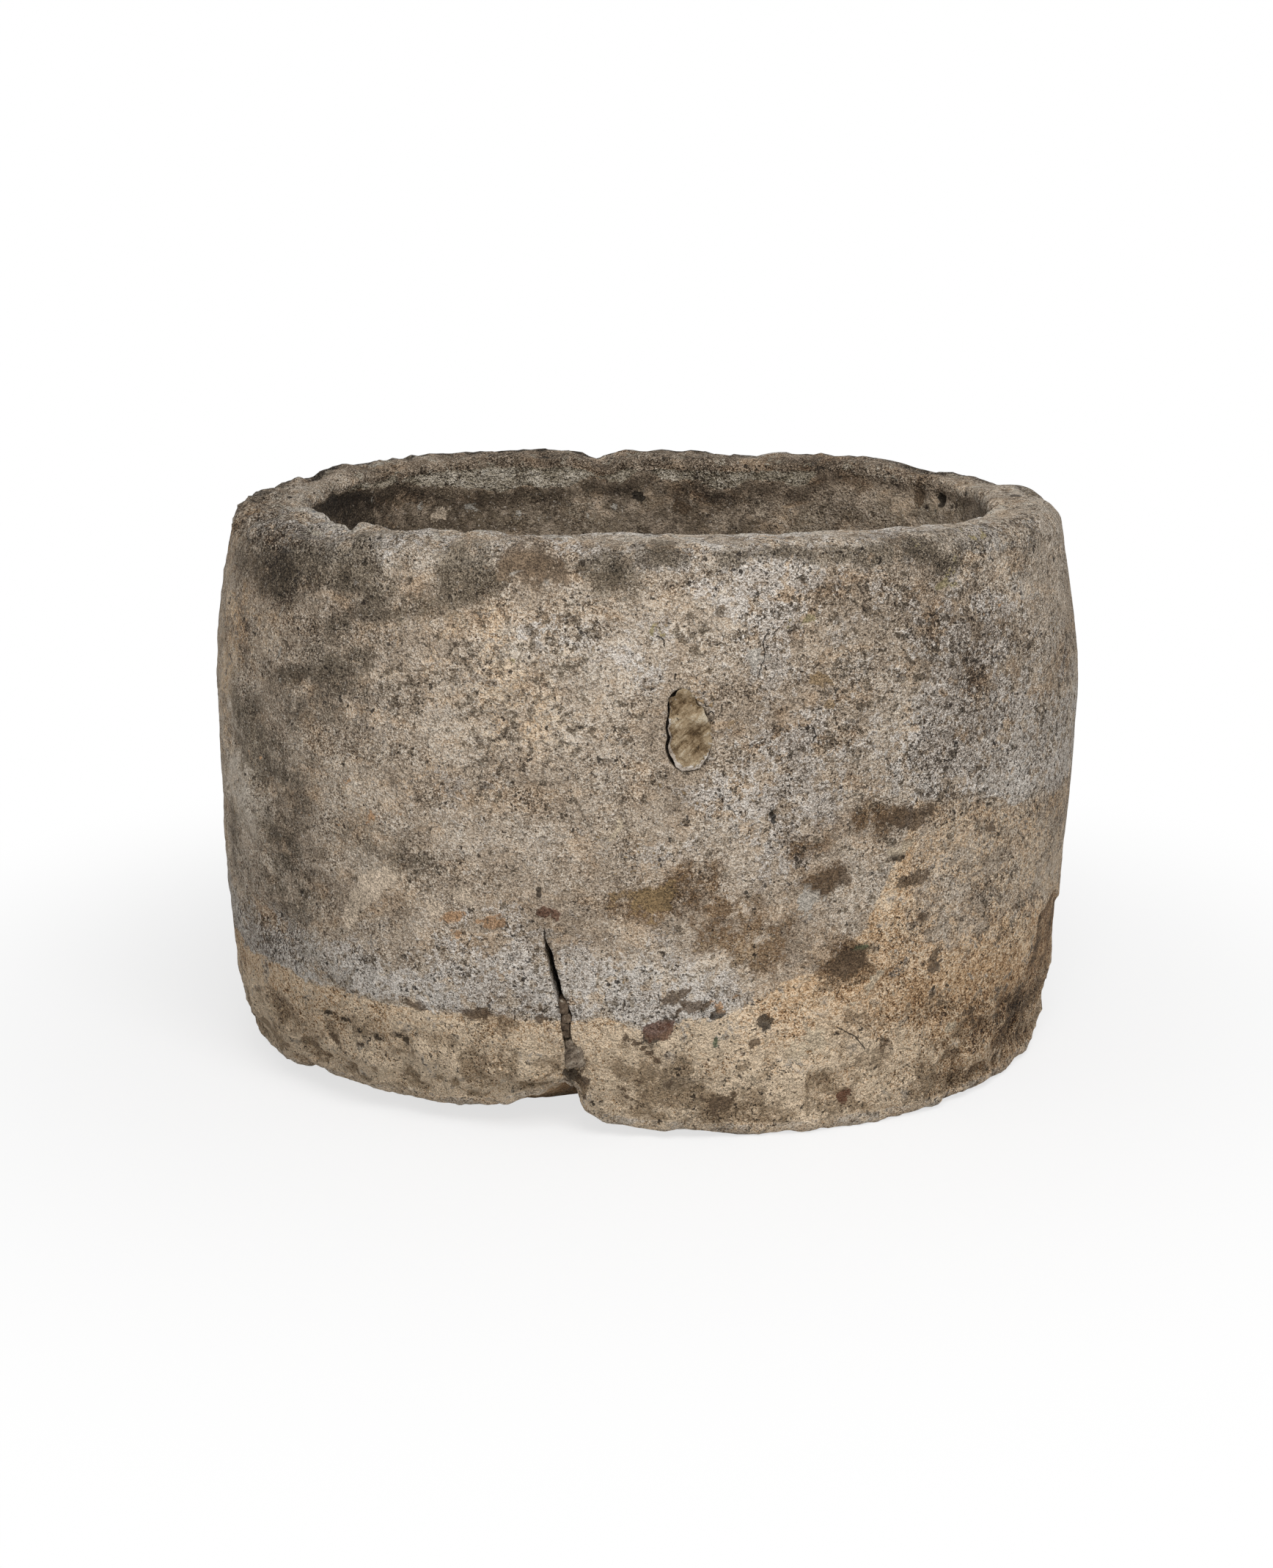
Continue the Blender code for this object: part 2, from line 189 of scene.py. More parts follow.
def new_material(name):
    """An empty node material: itself, its graph and the place of each point on the piece."""
    material = bpy.data.materials.new(name)
    material.use_nodes = True
    material.node_tree.nodes.clear()
    graph = Graph(material.node_tree)
    return material, graph, graph.node("ShaderNodeTexCoord").outputs["Object"]


def seen_ray(graph):
    """1 where the background is seen, directly, mirrored or through glass, and 0 where it only lights."""
    path = graph.node("ShaderNodeLightPath").outputs
    seen = graph.math("MAXIMUM", path["Is Camera Ray"], path["Is Glossy Ray"])
    return graph.math("MAXIMUM", seen, path["Is Transmission Ray"])


world = bpy.data.worlds.new("sky")
world.use_nodes = True
world.node_tree.nodes.clear()
sky = Graph(world.node_tree)
strength = sky.ramp(seen_ray(sky), 0.0, 1.0, SKY_STRENGTH, 1.0)
shine = sky.node("ShaderNodeBackground", {"Color": WHITE, "Strength": strength})
sky.node("ShaderNodeOutputWorld", {"Surface": shine.outputs[0]})
scene.world = world

lamp_data = bpy.data.lights.new("lamp", "AREA")
lamp_data.shape = "RECTANGLE"
lamp_data.size, lamp_data.size_y = LAMP_SIZE
lamp_data.energy = LAMP_WATTS
lamp = bpy.data.objects.new("lamp", lamp_data)
lamp.location = LAMP_PLACE
lamp.rotation_euler = (LAMP_TILT, 0.0, LAMP_TURN)
scene.collection.objects.link(lamp)

floor_mesh = bpy.data.meshes.new("floor")
corners = [(x * FLOOR_REACH, y * FLOOR_REACH, 0.0) for x, y in ((-1, -1), (1, -1), (1, 1), (-1, 1))]
floor_mesh.from_pydata(corners, [], [(0, 1, 2, 3)])
floor = bpy.data.objects.new("floor", floor_mesh)
scene.collection.objects.link(floor)
floor_material, graph, place = new_material("floor_white")
away = graph.node("ShaderNodeVectorMath", {0: place}, operation="LENGTH").outputs["Value"]
pale = graph.node("ShaderNodeBsdfDiffuse", {"Color": FLOOR_PALE})
white = graph.node("ShaderNodeEmission", {"Color": WHITE, "Strength": 1.0})
fade = graph.ramp(away, FLOOR_FADE_START, FLOOR_FADE_END, FLOOR_WHITENESS, 1.0)
share = graph.times(seen_ray(graph), fade)
ground = graph.node("ShaderNodeMixShader", {0: share, 1: pale.outputs[0], 2: white.outputs[0]})
graph.node("ShaderNodeOutputMaterial", {"Surface": ground.outputs[0]})
floor_mesh.materials.append(floor_material)
floor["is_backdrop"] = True

# The block. One trough carved from a single piece of shelly limestone, bellied and oval, its rim worn and
# chipped, its underside broken away at the front, a crack opening down to the break. The whole skin is one
# grid: rows run from the middle of the underside, up the outside, over the rim and down into the basin.
LENGTH = 1.000
DEPTH = 0.730
HEIGHT = 0.654
BELLY_HEIGHT = 0.400
RIM_LENGTH = 0.938
RIM_DEPTH = 0.672
FOOT_LENGTH = 0.936
FOOT_DEPTH = 0.700
FOOT_CURVE = 3.5
RIM_CURVE = 2.0
RIM_SQUARENESS = 2.35
BELLY_SQUARENESS = 2.2
FOOT_SQUARENESS = 2.05
BASIN_SQUARENESS = 2.85
RIM_TAPER = 0.08
BELLY_TAPER = 0.12
FOOT_TAPER = -0.05
FOOT_ROUND = 0.016
RIM_ROUND_OUTSIDE = 0.024
RIM_ROUND_INSIDE = 0.012
WALL_END = 0.082
WALL_SIDE = 0.079
FLOOR_THICKNESS = 0.120
BASIN_DRAFT = 0.034
BASIN_ROUND = 0.070
PLUG_Z = 0.464
PLUG_WIDTH = 0.049
PLUG_HEIGHT = 0.089
CRACK_X = -0.090
CRACK_HEIGHT = 0.242
BREAK_HEIGHT = 0.062
BREAK_RUN = 0.105

# Hollows and swellings of the outside: bearing, height, spread in degrees, spread in height, outwards
SWELLINGS = np.array([
    (190.0, 0.28, 16.0, 0.11, -0.002), (222.0, 0.33, 12.0, 0.09, -0.005), (252.0, 0.42, 14.0, 0.12, 0.003),
    (300.0, 0.48, 16.0, 0.1, 0.004), (335.0, 0.07, 12.0, 0.07, -0.014), (345.0, 0.21, 16.0, 0.11, -0.009),
    (350.0, 0.59, 14.0, 0.07, -0.005), (62.0, 0.35, 22.0, 0.15, 0.004), (128.0, 0.23, 18.0, 0.11, -0.004),
])

# Wear of the rim: bearing, spread in degrees, drop of the edge
RIM_WEAR = np.array([
    (98.0, 3.0, 0.011), (128.0, 9.0, 0.003), (142.0, 10.0, 0.008), (75.0, 14.0, 0.004), (42.0, 7.0, 0.008),
    (24.0, 14.0, 0.0115), (154.0, 4.0, 0.011), (164.5, 5.5, 0.013), (174.0, 7.0, 0.006),
    (192.0, 9.0, 0.007), (243.0, 3.0, 0.008), (226.0, 10.0, 0.004), (270.0, 14.0, 0.002),
    (300.0, 20.0, 0.004), (335.0, 20.0, 0.005), (4.0, 8.0, 0.007),
])

# Height of the broken underside along the front: place from the crack, share of the full height
BREAK_PROFILE = np.array([
    (-0.37, 0.0), (-0.312, 0.22), (-0.276, 0.36), (-0.222, 0.31), (-0.12, 0.34), (-0.07, 0.44),
    (-0.023, 0.75), (-0.002, 1.0), (0.013, 0.85), (0.022, 0.45), (0.045, 0.24), (0.09, 0.15), (0.16, 0.06),
    (0.21, 0.0),
])

# The crack from its foot up to its tip: height, left and right edge
CRACK_OUTLINE = np.array([
    (0.0552, -0.084, -0.073), (0.0859, -0.086, -0.075), (0.092, -0.087, -0.07), (0.1009, -0.09, -0.07),
    (0.1162, -0.091, -0.075), (0.121, -0.0916, -0.083), (0.1271, -0.0928, -0.085),
    (0.1389, -0.0956, -0.0845), (0.1481, -0.095, -0.0828), (0.1573, -0.0965, -0.0858),
    (0.169, -0.098, -0.0896), (0.177, -0.1006, -0.092), (0.19, -0.104, -0.0956), (0.1985, -0.1058, -0.0974),
    (0.2158, -0.1082, -0.101), (0.2325, -0.1104, -0.1064), (0.242, -0.1114, -0.1109),
])

# Outline of the plugged hole, as shares of half its width and half its height
PLUG_OUTLINE = np.array([
    (-0.63, 0.93), (-0.19, 1.0), (0.18, 0.86), (0.42, 0.6), (0.8, 0.42), (0.98, 0.02), (1.0, -0.46),
    (0.78, -0.82), (0.2, -1.0), (-0.37, -0.97), (-0.8, -0.78), (-1.0, -0.44), (-0.9, -0.18), (-1.0, 0.06),
    (-0.85, 0.38), (-0.9, 0.72),
])


def smooth(value, low, high):
    """3t^2 - 2t^3 of t, which goes from 0 at low to 1 at high."""
    t = np.clip((value - low) / (high - low), 0.0, 1.0)
    return t * t * (3.0 - 2.0 * t)


def hump(distance, spread):
    """exp(-(d / s)^2): 1 at distance 0 and nearly nothing past twice the spread."""
    return np.exp(-((distance / spread) ** 2))


def turned(bearing, centre):
    """Degrees from centre to bearing by the shorter way round."""
    return (bearing - centre + 180.0) % 360.0 - 180.0


def lattice(corner, seed):
    """A random value from -1 to 1 for each whole-numbered corner, from a hash of its three numbers."""
    mixed = corner[..., 0] * 374761393 + corner[..., 1] * 668265263 + corner[..., 2] * 1440662683
    mixed = (mixed + seed * 974711) & 0xFFFFFFFF
    mixed = ((mixed ^ (mixed >> 13)) * 1274126177) & 0xFFFFFFFF
    mixed = mixed ^ (mixed >> 16)
    return mixed / 2147483648.0 - 1.0


def noise(points, size, seed):
    """Random lattice values, spaced by size, blended between their 8 corners by 3t^2 - 2t^3."""
    place = points / size
    corner = np.floor(place).astype(np.int64)
    part = place - corner
    part = part * part * (3.0 - 2.0 * part)
    total = 0.0
    for step in np.ndindex(2, 2, 2):
        weight = np.prod(np.where(step, part, 1.0 - part), axis=-1)
        total = total + weight * lattice(corner + np.array(step), seed)
    return total


def fractal(points, size, octaves, seed, gain=0.5):
    """The sum of noise(size / 2^k) gain^k over the octaves k."""
    return sum(noise(points, size / 2**k, seed + 17 * k) * gain**k for k in range(octaves))


def cell_distance(points, size, seed):
    """Metres to the nearest of the random points, one in each cell of that size, and that point's value."""
    place = points / size
    corner = np.floor(place).astype(np.int64)
    best = np.full(place.shape[:-1], 9.0)
    value = np.zeros(place.shape[:-1])
    for step in np.ndindex(3, 3, 3):
        cell = corner + np.array(step) - 1
        offset = np.stack([lattice(cell, seed + axis) for axis in range(3)], axis=-1)
        gap = np.linalg.norm(cell + 0.5 + 0.45 * offset - place, axis=-1)
        value = np.where(gap < best, lattice(cell, seed + 3), value)
        best = np.minimum(gap, best)
    return best * size, value


def oval(half_length, half_depth, squareness, taper, bearing):
    """x = a r cos t, y = b r sin t (1 - taper r cos t), with r = (|cos t|^n + |sin t|^n)^(-1/n)."""
    turn = np.radians(bearing)
    cos, sin = np.cos(turn), np.sin(turn)
    reach = (np.abs(cos) ** squareness + np.abs(sin) ** squareness) ** (-1.0 / squareness)
    return half_length * reach * cos, half_depth * reach * sin * (1.0 - taper * reach * cos)


def sizes_at(height):
    """Half length, half depth, squareness and taper of the outside at a height."""
    low = np.clip((BELLY_HEIGHT - height) / BELLY_HEIGHT, 0.0, 1.0) ** FOOT_CURVE
    high = np.clip((height - BELLY_HEIGHT) / (HEIGHT - BELLY_HEIGHT), 0.0, 1.0) ** RIM_CURVE

    def between(belly, foot, rim):
        """belly + (foot - belly) low + (rim - belly) high."""
        return belly + (foot - belly) * low + (rim - belly) * high

    half_length = between(LENGTH, FOOT_LENGTH, RIM_LENGTH) / 2
    half_depth = between(DEPTH, FOOT_DEPTH, RIM_DEPTH) / 2
    squareness = between(BELLY_SQUARENESS, FOOT_SQUARENESS, RIM_SQUARENESS)
    return half_length, half_depth, squareness, between(BELLY_TAPER, FOOT_TAPER, RIM_TAPER)


def rim_drop(bearing):
    """How far the worn rim lies under the full height."""
    return sum(drop * hump(turned(bearing, centre), spread) for centre, spread, drop in RIM_WEAR)


def broken(x, y):
    """Share of the full break height of the underside at a place on the foot."""
    share = np.interp(x - CRACK_X, BREAK_PROFILE[:, 0], BREAK_PROFILE[:, 1])
    return np.where(y < 0.0, share, 0.0)


def outside(height, bearing, inset=0.0):
    """Points of the outside at a nominal height and bearing, drawn in by an inset."""
    half_length, half_depth, squareness, taper = sizes_at(height)
    x, y = oval(half_length - inset, half_depth - inset, squareness, taper, bearing)
    out = 0.0
    for centre, level, spread, reach, amount in SWELLINGS:
        out = out + amount * hump(turned(bearing, centre), spread) * hump(height - level, reach)
    x = x + out * np.cos(np.radians(bearing))
    y = y + out * np.sin(np.radians(bearing))
    rise = np.clip((height - BELLY_HEIGHT) / (HEIGHT - BELLY_HEIGHT), 0.0, 1.0)
    lift = np.clip(1.0 - height / BELLY_HEIGHT, 0.0, 1.0) ** 2
    z = height - rim_drop(bearing) * rise**2 + broken(x, y) * BREAK_HEIGHT * lift
    return np.stack(np.broadcast_arrays(x, y, z), axis=-1)


def basin(height, bearing, inset=0.0):
    """Points of the basin's wall at a nominal height and bearing, drawn in by an inset."""
    rise = (height - FLOOR_THICKNESS) / (HEIGHT - FLOOR_THICKNESS)
    lean = BASIN_DRAFT * (1.0 - rise) + inset
    half_length = RIM_LENGTH / 2 - WALL_END - lean
    half_depth = RIM_DEPTH / 2 - WALL_SIDE - lean
    x, y = oval(half_length, half_depth, BASIN_SQUARENESS, RIM_TAPER, bearing)
    z = height - rim_drop(bearing) * np.clip(rise, 0.0, 1.0) ** 6
    return np.stack(np.broadcast_arrays(x, y, z), axis=-1)


def girth_table():
    """Bearings from 90 to 450 and the way along the belly to each, in metres from the front's middle."""
    bearing = np.linspace(90.0, 450.0, 3601)
    x, y = oval(LENGTH / 2, DEPTH / 2, BELLY_SQUARENESS, BELLY_TAPER, bearing)
    way = np.concatenate([[0.0], np.cumsum(np.hypot(np.diff(x), np.diff(y)))])
    return bearing, way - np.interp(270.0, bearing, way)


def spaced(low, high, count, weight):
    """Count places from low to high, crowded in proportion to weight(place)."""
    fine = np.linspace(low, high, 4001)
    total = np.concatenate([[0.0], np.cumsum(weight((fine[1:] + fine[:-1]) / 2))])
    return np.interp(np.linspace(0.0, total[-1], count), total, fine)


# Columns: closer over the front, and closest by the crack and the plugged hole
PLUG_BEARING = 274.62
METRES_PER_DEGREE = 0.00872
PLUG_SPREAD = PLUG_WIDTH / 2 / METRES_PER_DEGREE
CRACK_BEARING = 259.2
CRACK_STRIP = 0.70
EVEN_COLUMNS = 500


def column_weight(bearing):
    """1 at the back, 2.1 over the front, and up to 1.4 more by the crack and 1.3 more by the hole."""
    front = 1.0 + 1.1 * smooth(bearing, 165.0, 185.0) * (1.0 - smooth(bearing, 355.0, 375.0))
    return front + 1.4 * hump(bearing - CRACK_BEARING, 3.0) + 1.3 * hump(bearing - PLUG_BEARING, 4.0)


def with_lines(places, low, high, lines):
    """Places with those between low and high taken out and the lines put in."""
    kept = places[(places < low) | (places > high)]
    return np.sort(np.concatenate([kept, lines]))


columns = spaced(90.0, 450.0, EVEN_COLUMNS + 1, column_weight)[:-1]
EDGE_SHARES = np.array([0.0, 0.05, 0.2, 0.4, 0.6, 0.8, 0.95, 1.0])
strip = CRACK_BEARING + CRACK_STRIP * (2.0 * EDGE_SHARES - 1.0)
columns = with_lines(columns, strip[0] - 0.2, strip[-1] + 0.2, strip)
for side in (-1.0, 1.0):
    near = PLUG_BEARING + side * PLUG_SPREAD
    lines = near - side * np.array([0.0, 0.09]) * PLUG_SPREAD
    columns = with_lines(columns, near - 0.25, near + 0.25, lines)
COLUMNS = len(columns)


# Rows of the wall: closer in its lower part, under the rim and by the hole
def wall_weight(height):
    """1, with 0.5 more below the crack's tip, 0.8 more under the rim and up to 0.5 more by the hole."""
    low_and_high = 1.0 + 0.5 * (1.0 - smooth(height, 0.24, 0.30)) + 0.8 * smooth(height, 0.57, 0.61)
    return low_and_high + 0.5 * hump(height - PLUG_Z, 0.06)


wall_top = HEIGHT - RIM_ROUND_OUTSIDE
wall_rows = spaced(FOOT_ROUND, wall_top, 106, wall_weight)[1:-1]
for side in (-1.0, 1.0):
    near = PLUG_Z + side * PLUG_HEIGHT / 2
    lines = near - side * np.array([0.0, 0.05]) * PLUG_HEIGHT / 2
    wall_rows = with_lines(wall_rows, near - 0.0030, near + 0.0030, lines)


CRACK_SIDES = ((1, -1.0, 11), (2, 1.0, 29))
WARP_REACH = 7.0


def crack_edge(height, column, outwards, seed):
    """Bearing of one edge of the crack at a nominal height, which the broken foot lifts by a share of lift.

    The lift depends on the edge's place along the front, so it is worked out in two steps.
    """
    lift = BREAK_HEIGHT * np.clip(1.0 - height / BELLY_HEIGHT, 0.0, 1.0) ** 2
    x = np.interp(height + lift, CRACK_OUTLINE[:, 0], CRACK_OUTLINE[:, column])
    x = np.interp(height + lift * broken(x, -1.0), CRACK_OUTLINE[:, 0], CRACK_OUTLINE[:, column])
    line = np.stack([height, np.zeros_like(height), np.zeros_like(height)], axis=-1)
    x = x + smooth(CRACK_HEIGHT - height, 0.0, 0.03) * 0.0010 * fractal(line, 0.014, 3, seed)
    x = x + outwards * np.clip(height - CRACK_HEIGHT, 0.0, 0.05) * 0.12
    trial = np.linspace(250.0, 268.0, 181)
    return np.interp(x / sizes_at(height)[0], oval(1.0, 1.0, 2.15, 0.0, trial)[0], trial)


def warp_columns(bearing, height):
    """Bearings drawn along the crack: the strip's edges lie on the crack's left and right edge."""
    left, right = (crack_edge(height, *side) for side in CRACK_SIDES)
    low, high = CRACK_BEARING - CRACK_STRIP, CRACK_BEARING + CRACK_STRIP
    far_low, far_high = low - WARP_REACH, high + WARP_REACH
    left_part = far_low + (bearing - far_low) * (left - far_low) / (low - far_low)
    inner_part = left + (bearing - low) * (right - left) / (high - low)
    right_part = right + (bearing - high) * (far_high - right) / (far_high - high)
    warped = np.where(bearing < low, left_part, np.where(bearing > high, right_part, inner_part))
    inside = (bearing > far_low) & (bearing < far_high)
    return np.where(inside, warped, bearing)


WARP_END = 2.6


def plug_reach(turn):
    """The radius R(t) of the plugged hole's outline in each direction t, between its corners."""
    corner_turn = np.arctan2(PLUG_OUTLINE[:, 1], PLUG_OUTLINE[:, 0])
    corner_reach = np.hypot(PLUG_OUTLINE[:, 0], PLUG_OUTLINE[:, 1])
    order = np.argsort(corner_turn)
    return np.interp(turn, corner_turn[order], corner_reach[order], period=2.0 * np.pi)


def warp_plug(bearing, height):
    """Grid places drawn so that a box of the grid takes the outline of the plugged hole.

    A place at the box's radius s in the direction t goes to s R(t) (cos t, sin t), R being the outline.
    """
    u = (bearing - PLUG_BEARING) / PLUG_SPREAD
    v = (height - PLUG_Z) / (PLUG_HEIGHT / 2)
    radius = np.maximum(np.maximum(np.abs(u), np.abs(v)), 1e-6)
    u1, v1 = u / radius, v / radius
    turn = np.arctan2(v1 * np.sqrt(1.0 - u1 * u1 / 2), u1 * np.sqrt(1.0 - v1 * v1 / 2))
    reach = plug_reach(turn)
    keep = smooth(radius, 1.0, WARP_END)
    new_u = radius * reach * np.cos(turn) * (1.0 - keep) + u * keep
    new_v = radius * reach * np.sin(turn) * (1.0 - keep) + v * keep
    near = radius < WARP_END
    bearing = np.where(near, PLUG_BEARING + new_u * PLUG_SPREAD, bearing)
    height = np.where(near, PLUG_Z + new_v * PLUG_HEIGHT / 2, height)
    return bearing, height, radius


# Where a row lies across the section: 1 to 2 is the top of the rim, from the outside to the basin
UNDERSIDE, ARCH, FOOT, WALL, RIM, LIP, BASIN, BOTTOM = 0.0, 0.1, 0.2, 0.5, 1.0, 2.0, 3.0, 4.0
FAR = 9.0
FINE_BASIN_DOWN_TO = 0.54


def quarter(count):
    """Angles of a quarter turn."""
    return np.linspace(0.0, math.pi / 2, count)


def block_grid():
    """The block's points, rows by columns, each row's place across the section, and each point's plug radius.

    Flat rings and an arch make the underside, each quarter turn of a round edge adds R (1 - cos a) and
    R sin a, and outside() and basin() give the walls.
    """
    rings, across, plug_radius = [], [], []
    foot_edge = outside(np.zeros(COLUMNS), columns, FOOT_ROUND)
    share = broken(foot_edge[:, 0], foot_edge[:, 1])
    reach = np.hypot(foot_edge[:, 0], foot_edge[:, 1])

    def keep(points, place, radius=None):
        """Adds a row of points, its place across the section and each point's plug radius."""
        rings.append(points)
        across.append(np.full(COLUMNS, place))
        plug_radius.append(np.full(COLUMNS, FAR) if radius is None else radius)

    def keep_flat(scale, height, place):
        """Adds the foot's edge, drawn in by a scale, at a height."""
        keep(np.stack([foot_edge[:, 0] * scale, foot_edge[:, 1] * scale, height], axis=-1), place)

    run = (FOOT_ROUND + BREAK_RUN * np.sqrt(share)) / reach
    for part in (0.03, 0.45, 0.85):
        keep_flat(part * (1.0 - run), np.zeros(COLUMNS), UNDERSIDE)
    for step in (1.0, 0.8, 0.6, 0.42, 0.26, 0.12):
        keep_flat(1.0 - run * step, share * BREAK_HEIGHT * (1.0 - step) * (1.0 + 0.5 * step), ARCH)
    for angle in quarter(6):
        height = np.full(COLUMNS, FOOT_ROUND * (1.0 - math.cos(angle)))
        keep(outside(height, warp_columns(columns, height), FOOT_ROUND * (1.0 - math.sin(angle))), FOOT)
    for level in wall_rows:
        height = np.full(COLUMNS, level)
        bearing, height, radius = warp_plug(warp_columns(columns, height), height)
        keep(outside(height, bearing), WALL, radius)
    for angle in quarter(9):
        height = np.full(COLUMNS, wall_top + RIM_ROUND_OUTSIDE * math.sin(angle))
        keep(outside(height, columns, RIM_ROUND_OUTSIDE * (1.0 - math.cos(angle))), RIM)
    outer = rings[-1]
    lip = HEIGHT - RIM_ROUND_INSIDE
    inner = basin(np.full(COLUMNS, HEIGHT), columns, -RIM_ROUND_INSIDE)
    for part in np.linspace(0.0, 1.0, 18)[1:-1]:
        keep(outer + (inner - outer) * part, RIM + part)
    for angle in np.linspace(math.pi / 2, 0.0, 6):
        height = np.full(COLUMNS, lip + RIM_ROUND_INSIDE * math.sin(angle))
        keep(basin(height, columns, -RIM_ROUND_INSIDE * (1.0 - math.cos(angle))), LIP)
    floor_top = FLOOR_THICKNESS + BASIN_ROUND
    upper = np.linspace(lip, FINE_BASIN_DOWN_TO, 19)[1:]
    lower = np.linspace(FINE_BASIN_DOWN_TO, floor_top, 8)[1:-1]
    for level in np.concatenate([upper, lower]):
        keep(basin(np.full(COLUMNS, level), columns), BASIN)
    for angle in quarter(6):
        height = np.full(COLUMNS, floor_top - BASIN_ROUND * math.sin(angle))
        keep(basin(height, columns, BASIN_ROUND * (1.0 - math.cos(angle))), BOTTOM)
    last = rings[-1]
    for part in (0.8, 0.4, 0.04):
        keep(last * np.array([part, part, 1.0]), BOTTOM)
    return np.array(rings), np.array(across), np.array(plug_radius)


def grid_normals(points):
    """Unit normals of a grid closed round its columns, from its central differences."""
    along = np.roll(points, -1, axis=1) - np.roll(points, 1, axis=1)
    up = np.gradient(points, axis=0)
    normal = np.cross(along, up)
    return normal / np.maximum(np.linalg.norm(normal, axis=-1, keepdims=True), 1e-12)


points, across, plug_radius = block_grid()
normals = grid_normals(points)
bearing_table, girth_values = girth_table()
plan_bearing = np.degrees(np.arctan2(points[..., 1] / (DEPTH / LENGTH), points[..., 0])) % 360.0
plan_bearing = np.where(plan_bearing < 90.0, plan_bearing + 360.0, plan_bearing)
girth = np.interp(plan_bearing, bearing_table, girth_values)
block_x, block_y, level = (points[..., axis].copy() for axis in range(3))

# The dents, lumps, stains, marks, shore, crust and hairlines below lie where they were picked on the
# photograph. A separate program put most of those places into metres, and some were moved by hand.

# Hollows (less than 0) and bumps of the wall: way round from the front's middle, height, spread round,
# spread up, tilt in degrees, metres outwards
DENTS = np.array([
    (-0.386, 0.267, 0.0476, 0.0237, 0, -0.005), (-0.419, 0.217, 0.0447, 0.0198, 0, -0.004),
    (-0.126, 0.632, 0.0399, 0.0168, -8, -0.0032), (0.136, 0.367, 0.0059, 0.0048, 0, -0.009),
    (-0.001, 0.305, 0.0093, 0.0041, 10, -0.004), (-0.113, 0.29, 0.0051, 0.0057, 0, -0.003),
    (-0.11, 0.268, 0.0059, 0.0049, 0, 0.0025), (-0.097, 0.268, 0.0059, 0.0058, 0, 0.0025),
    (0.009, 0.134, 0.0216, 0.0172, 0, -0.002), (0.009, 0.134, 0.012, 0.0103, 0, 0.005),
    (0.128, 0.137, 0.0103, 0.0076, 0, -0.003), (0.177, 0.11, 0.0243, 0.0153, 0, 0.002),
    (0.233, 0.189, 0.0278, 0.0202, 0, -0.005), (0.265, 0.171, 0.0264, 0.0072, 50, 0.003),
    (0.233, 0.15, 0.0112, 0.0076, 0, 0.003), (-0.007, 0.11, 0.0224, 0.0048, -42, -0.003),
    (-0.349, 0.11, 0.0105, 0.0063, 0, -0.004), (-0.306, 0.099, 0.009, 0.0054, 0, -0.004),
    (-0.27, 0.102, 0.0084, 0.0054, 0, -0.004), (-0.374, 0.117, 0.0123, 0.0063, 0, -0.004),
    (0.575, 0.046, 0.0885, 0.0378, 0, -0.006), (-0.025, 0.06, 0.0245, 0.0234, 0, -0.003),
    (0.087, 0.044, 0.0305, 0.0193, 0, -0.003), (-0.076, 0.636, 0.0071, 0.0062, 0, -0.003),
    (-0.013, 0.652, 0.0074, 0.0003, 0, -0.0025), (-0.192, 0.641, 0.0319, 0.0058, 10, -0.005),
    (-0.221, 0.63, 0.0097, 0.0112, 0, -0.003), (-0.342, 0.504, 0.0858, 0.0094, 12, -0.0025),
    (-0.353, 0.522, 0.0775, 0.0077, 12, 0.002), (-0.294, 0.563, 0.0501, 0.0075, 15, -0.002),
    (-0.292, 0.548, 0.05, 0.0068, 15, 0.0015), (-0.469, 0.329, 0.0388, 0.0608, 10, 0.0025),
    (-0.433, 0.295, 0.0145, 0.0512, 10, -0.003), (0.291, 0.308, 0.0087, 0.0058, 0, -0.003),
    (0.292, 0.32, 0.029, 0.0042, 23, -0.0015), (0.301, 0.362, 0.0397, 0.0116, 0, -0.002),
    (-0.208, 0.044, 0.0745, 0.0108, 0, -0.003), (-0.15, 0.08, 0.04, 0.01, -8, 0.0095),
    (-0.15, 0.058, 0.045, 0.008, -8, -0.008), (-0.24, 0.092, 0.03, 0.01, 25, 0.0045),
    (-0.33, 0.07, 0.035, 0.011, -15, 0.004), (-0.3, 0.05, 0.03, 0.009, 10, -0.004),
    (0.07, 0.085, 0.045, 0.009, 12, 0.0035), (0.15, 0.095, 0.03, 0.008, -12, -0.0035),
    (-0.57, 0.024, 0.055, 0.024, 0, -0.011), (-0.274, 0.068, 0.0596, 0.0144, -10, -0.003),
    (-0.004, 0.093, 0.0241, 0.014, 0, 0.003), (0.146, 0.069, 0.0526, 0.0137, 0, 0.0025),
    (0.314, 0.091, 0.0507, 0.0122, 20, -0.0025), (0.396, 0.592, 0.0662, 0.0232, 0, -0.0015),
])

# Facet broken off the foot at the right end: way round and the height it reaches up to
FACET = np.array([
    (0.36, -0.01), (0.395, 0.08), (0.43, 0.107), (0.5, 0.103), (0.524, 0.118), (0.534, 0.19), (0.6, 0.205),
    (0.7, 0.15), (0.8, 0.09), (0.88, -0.01),
])

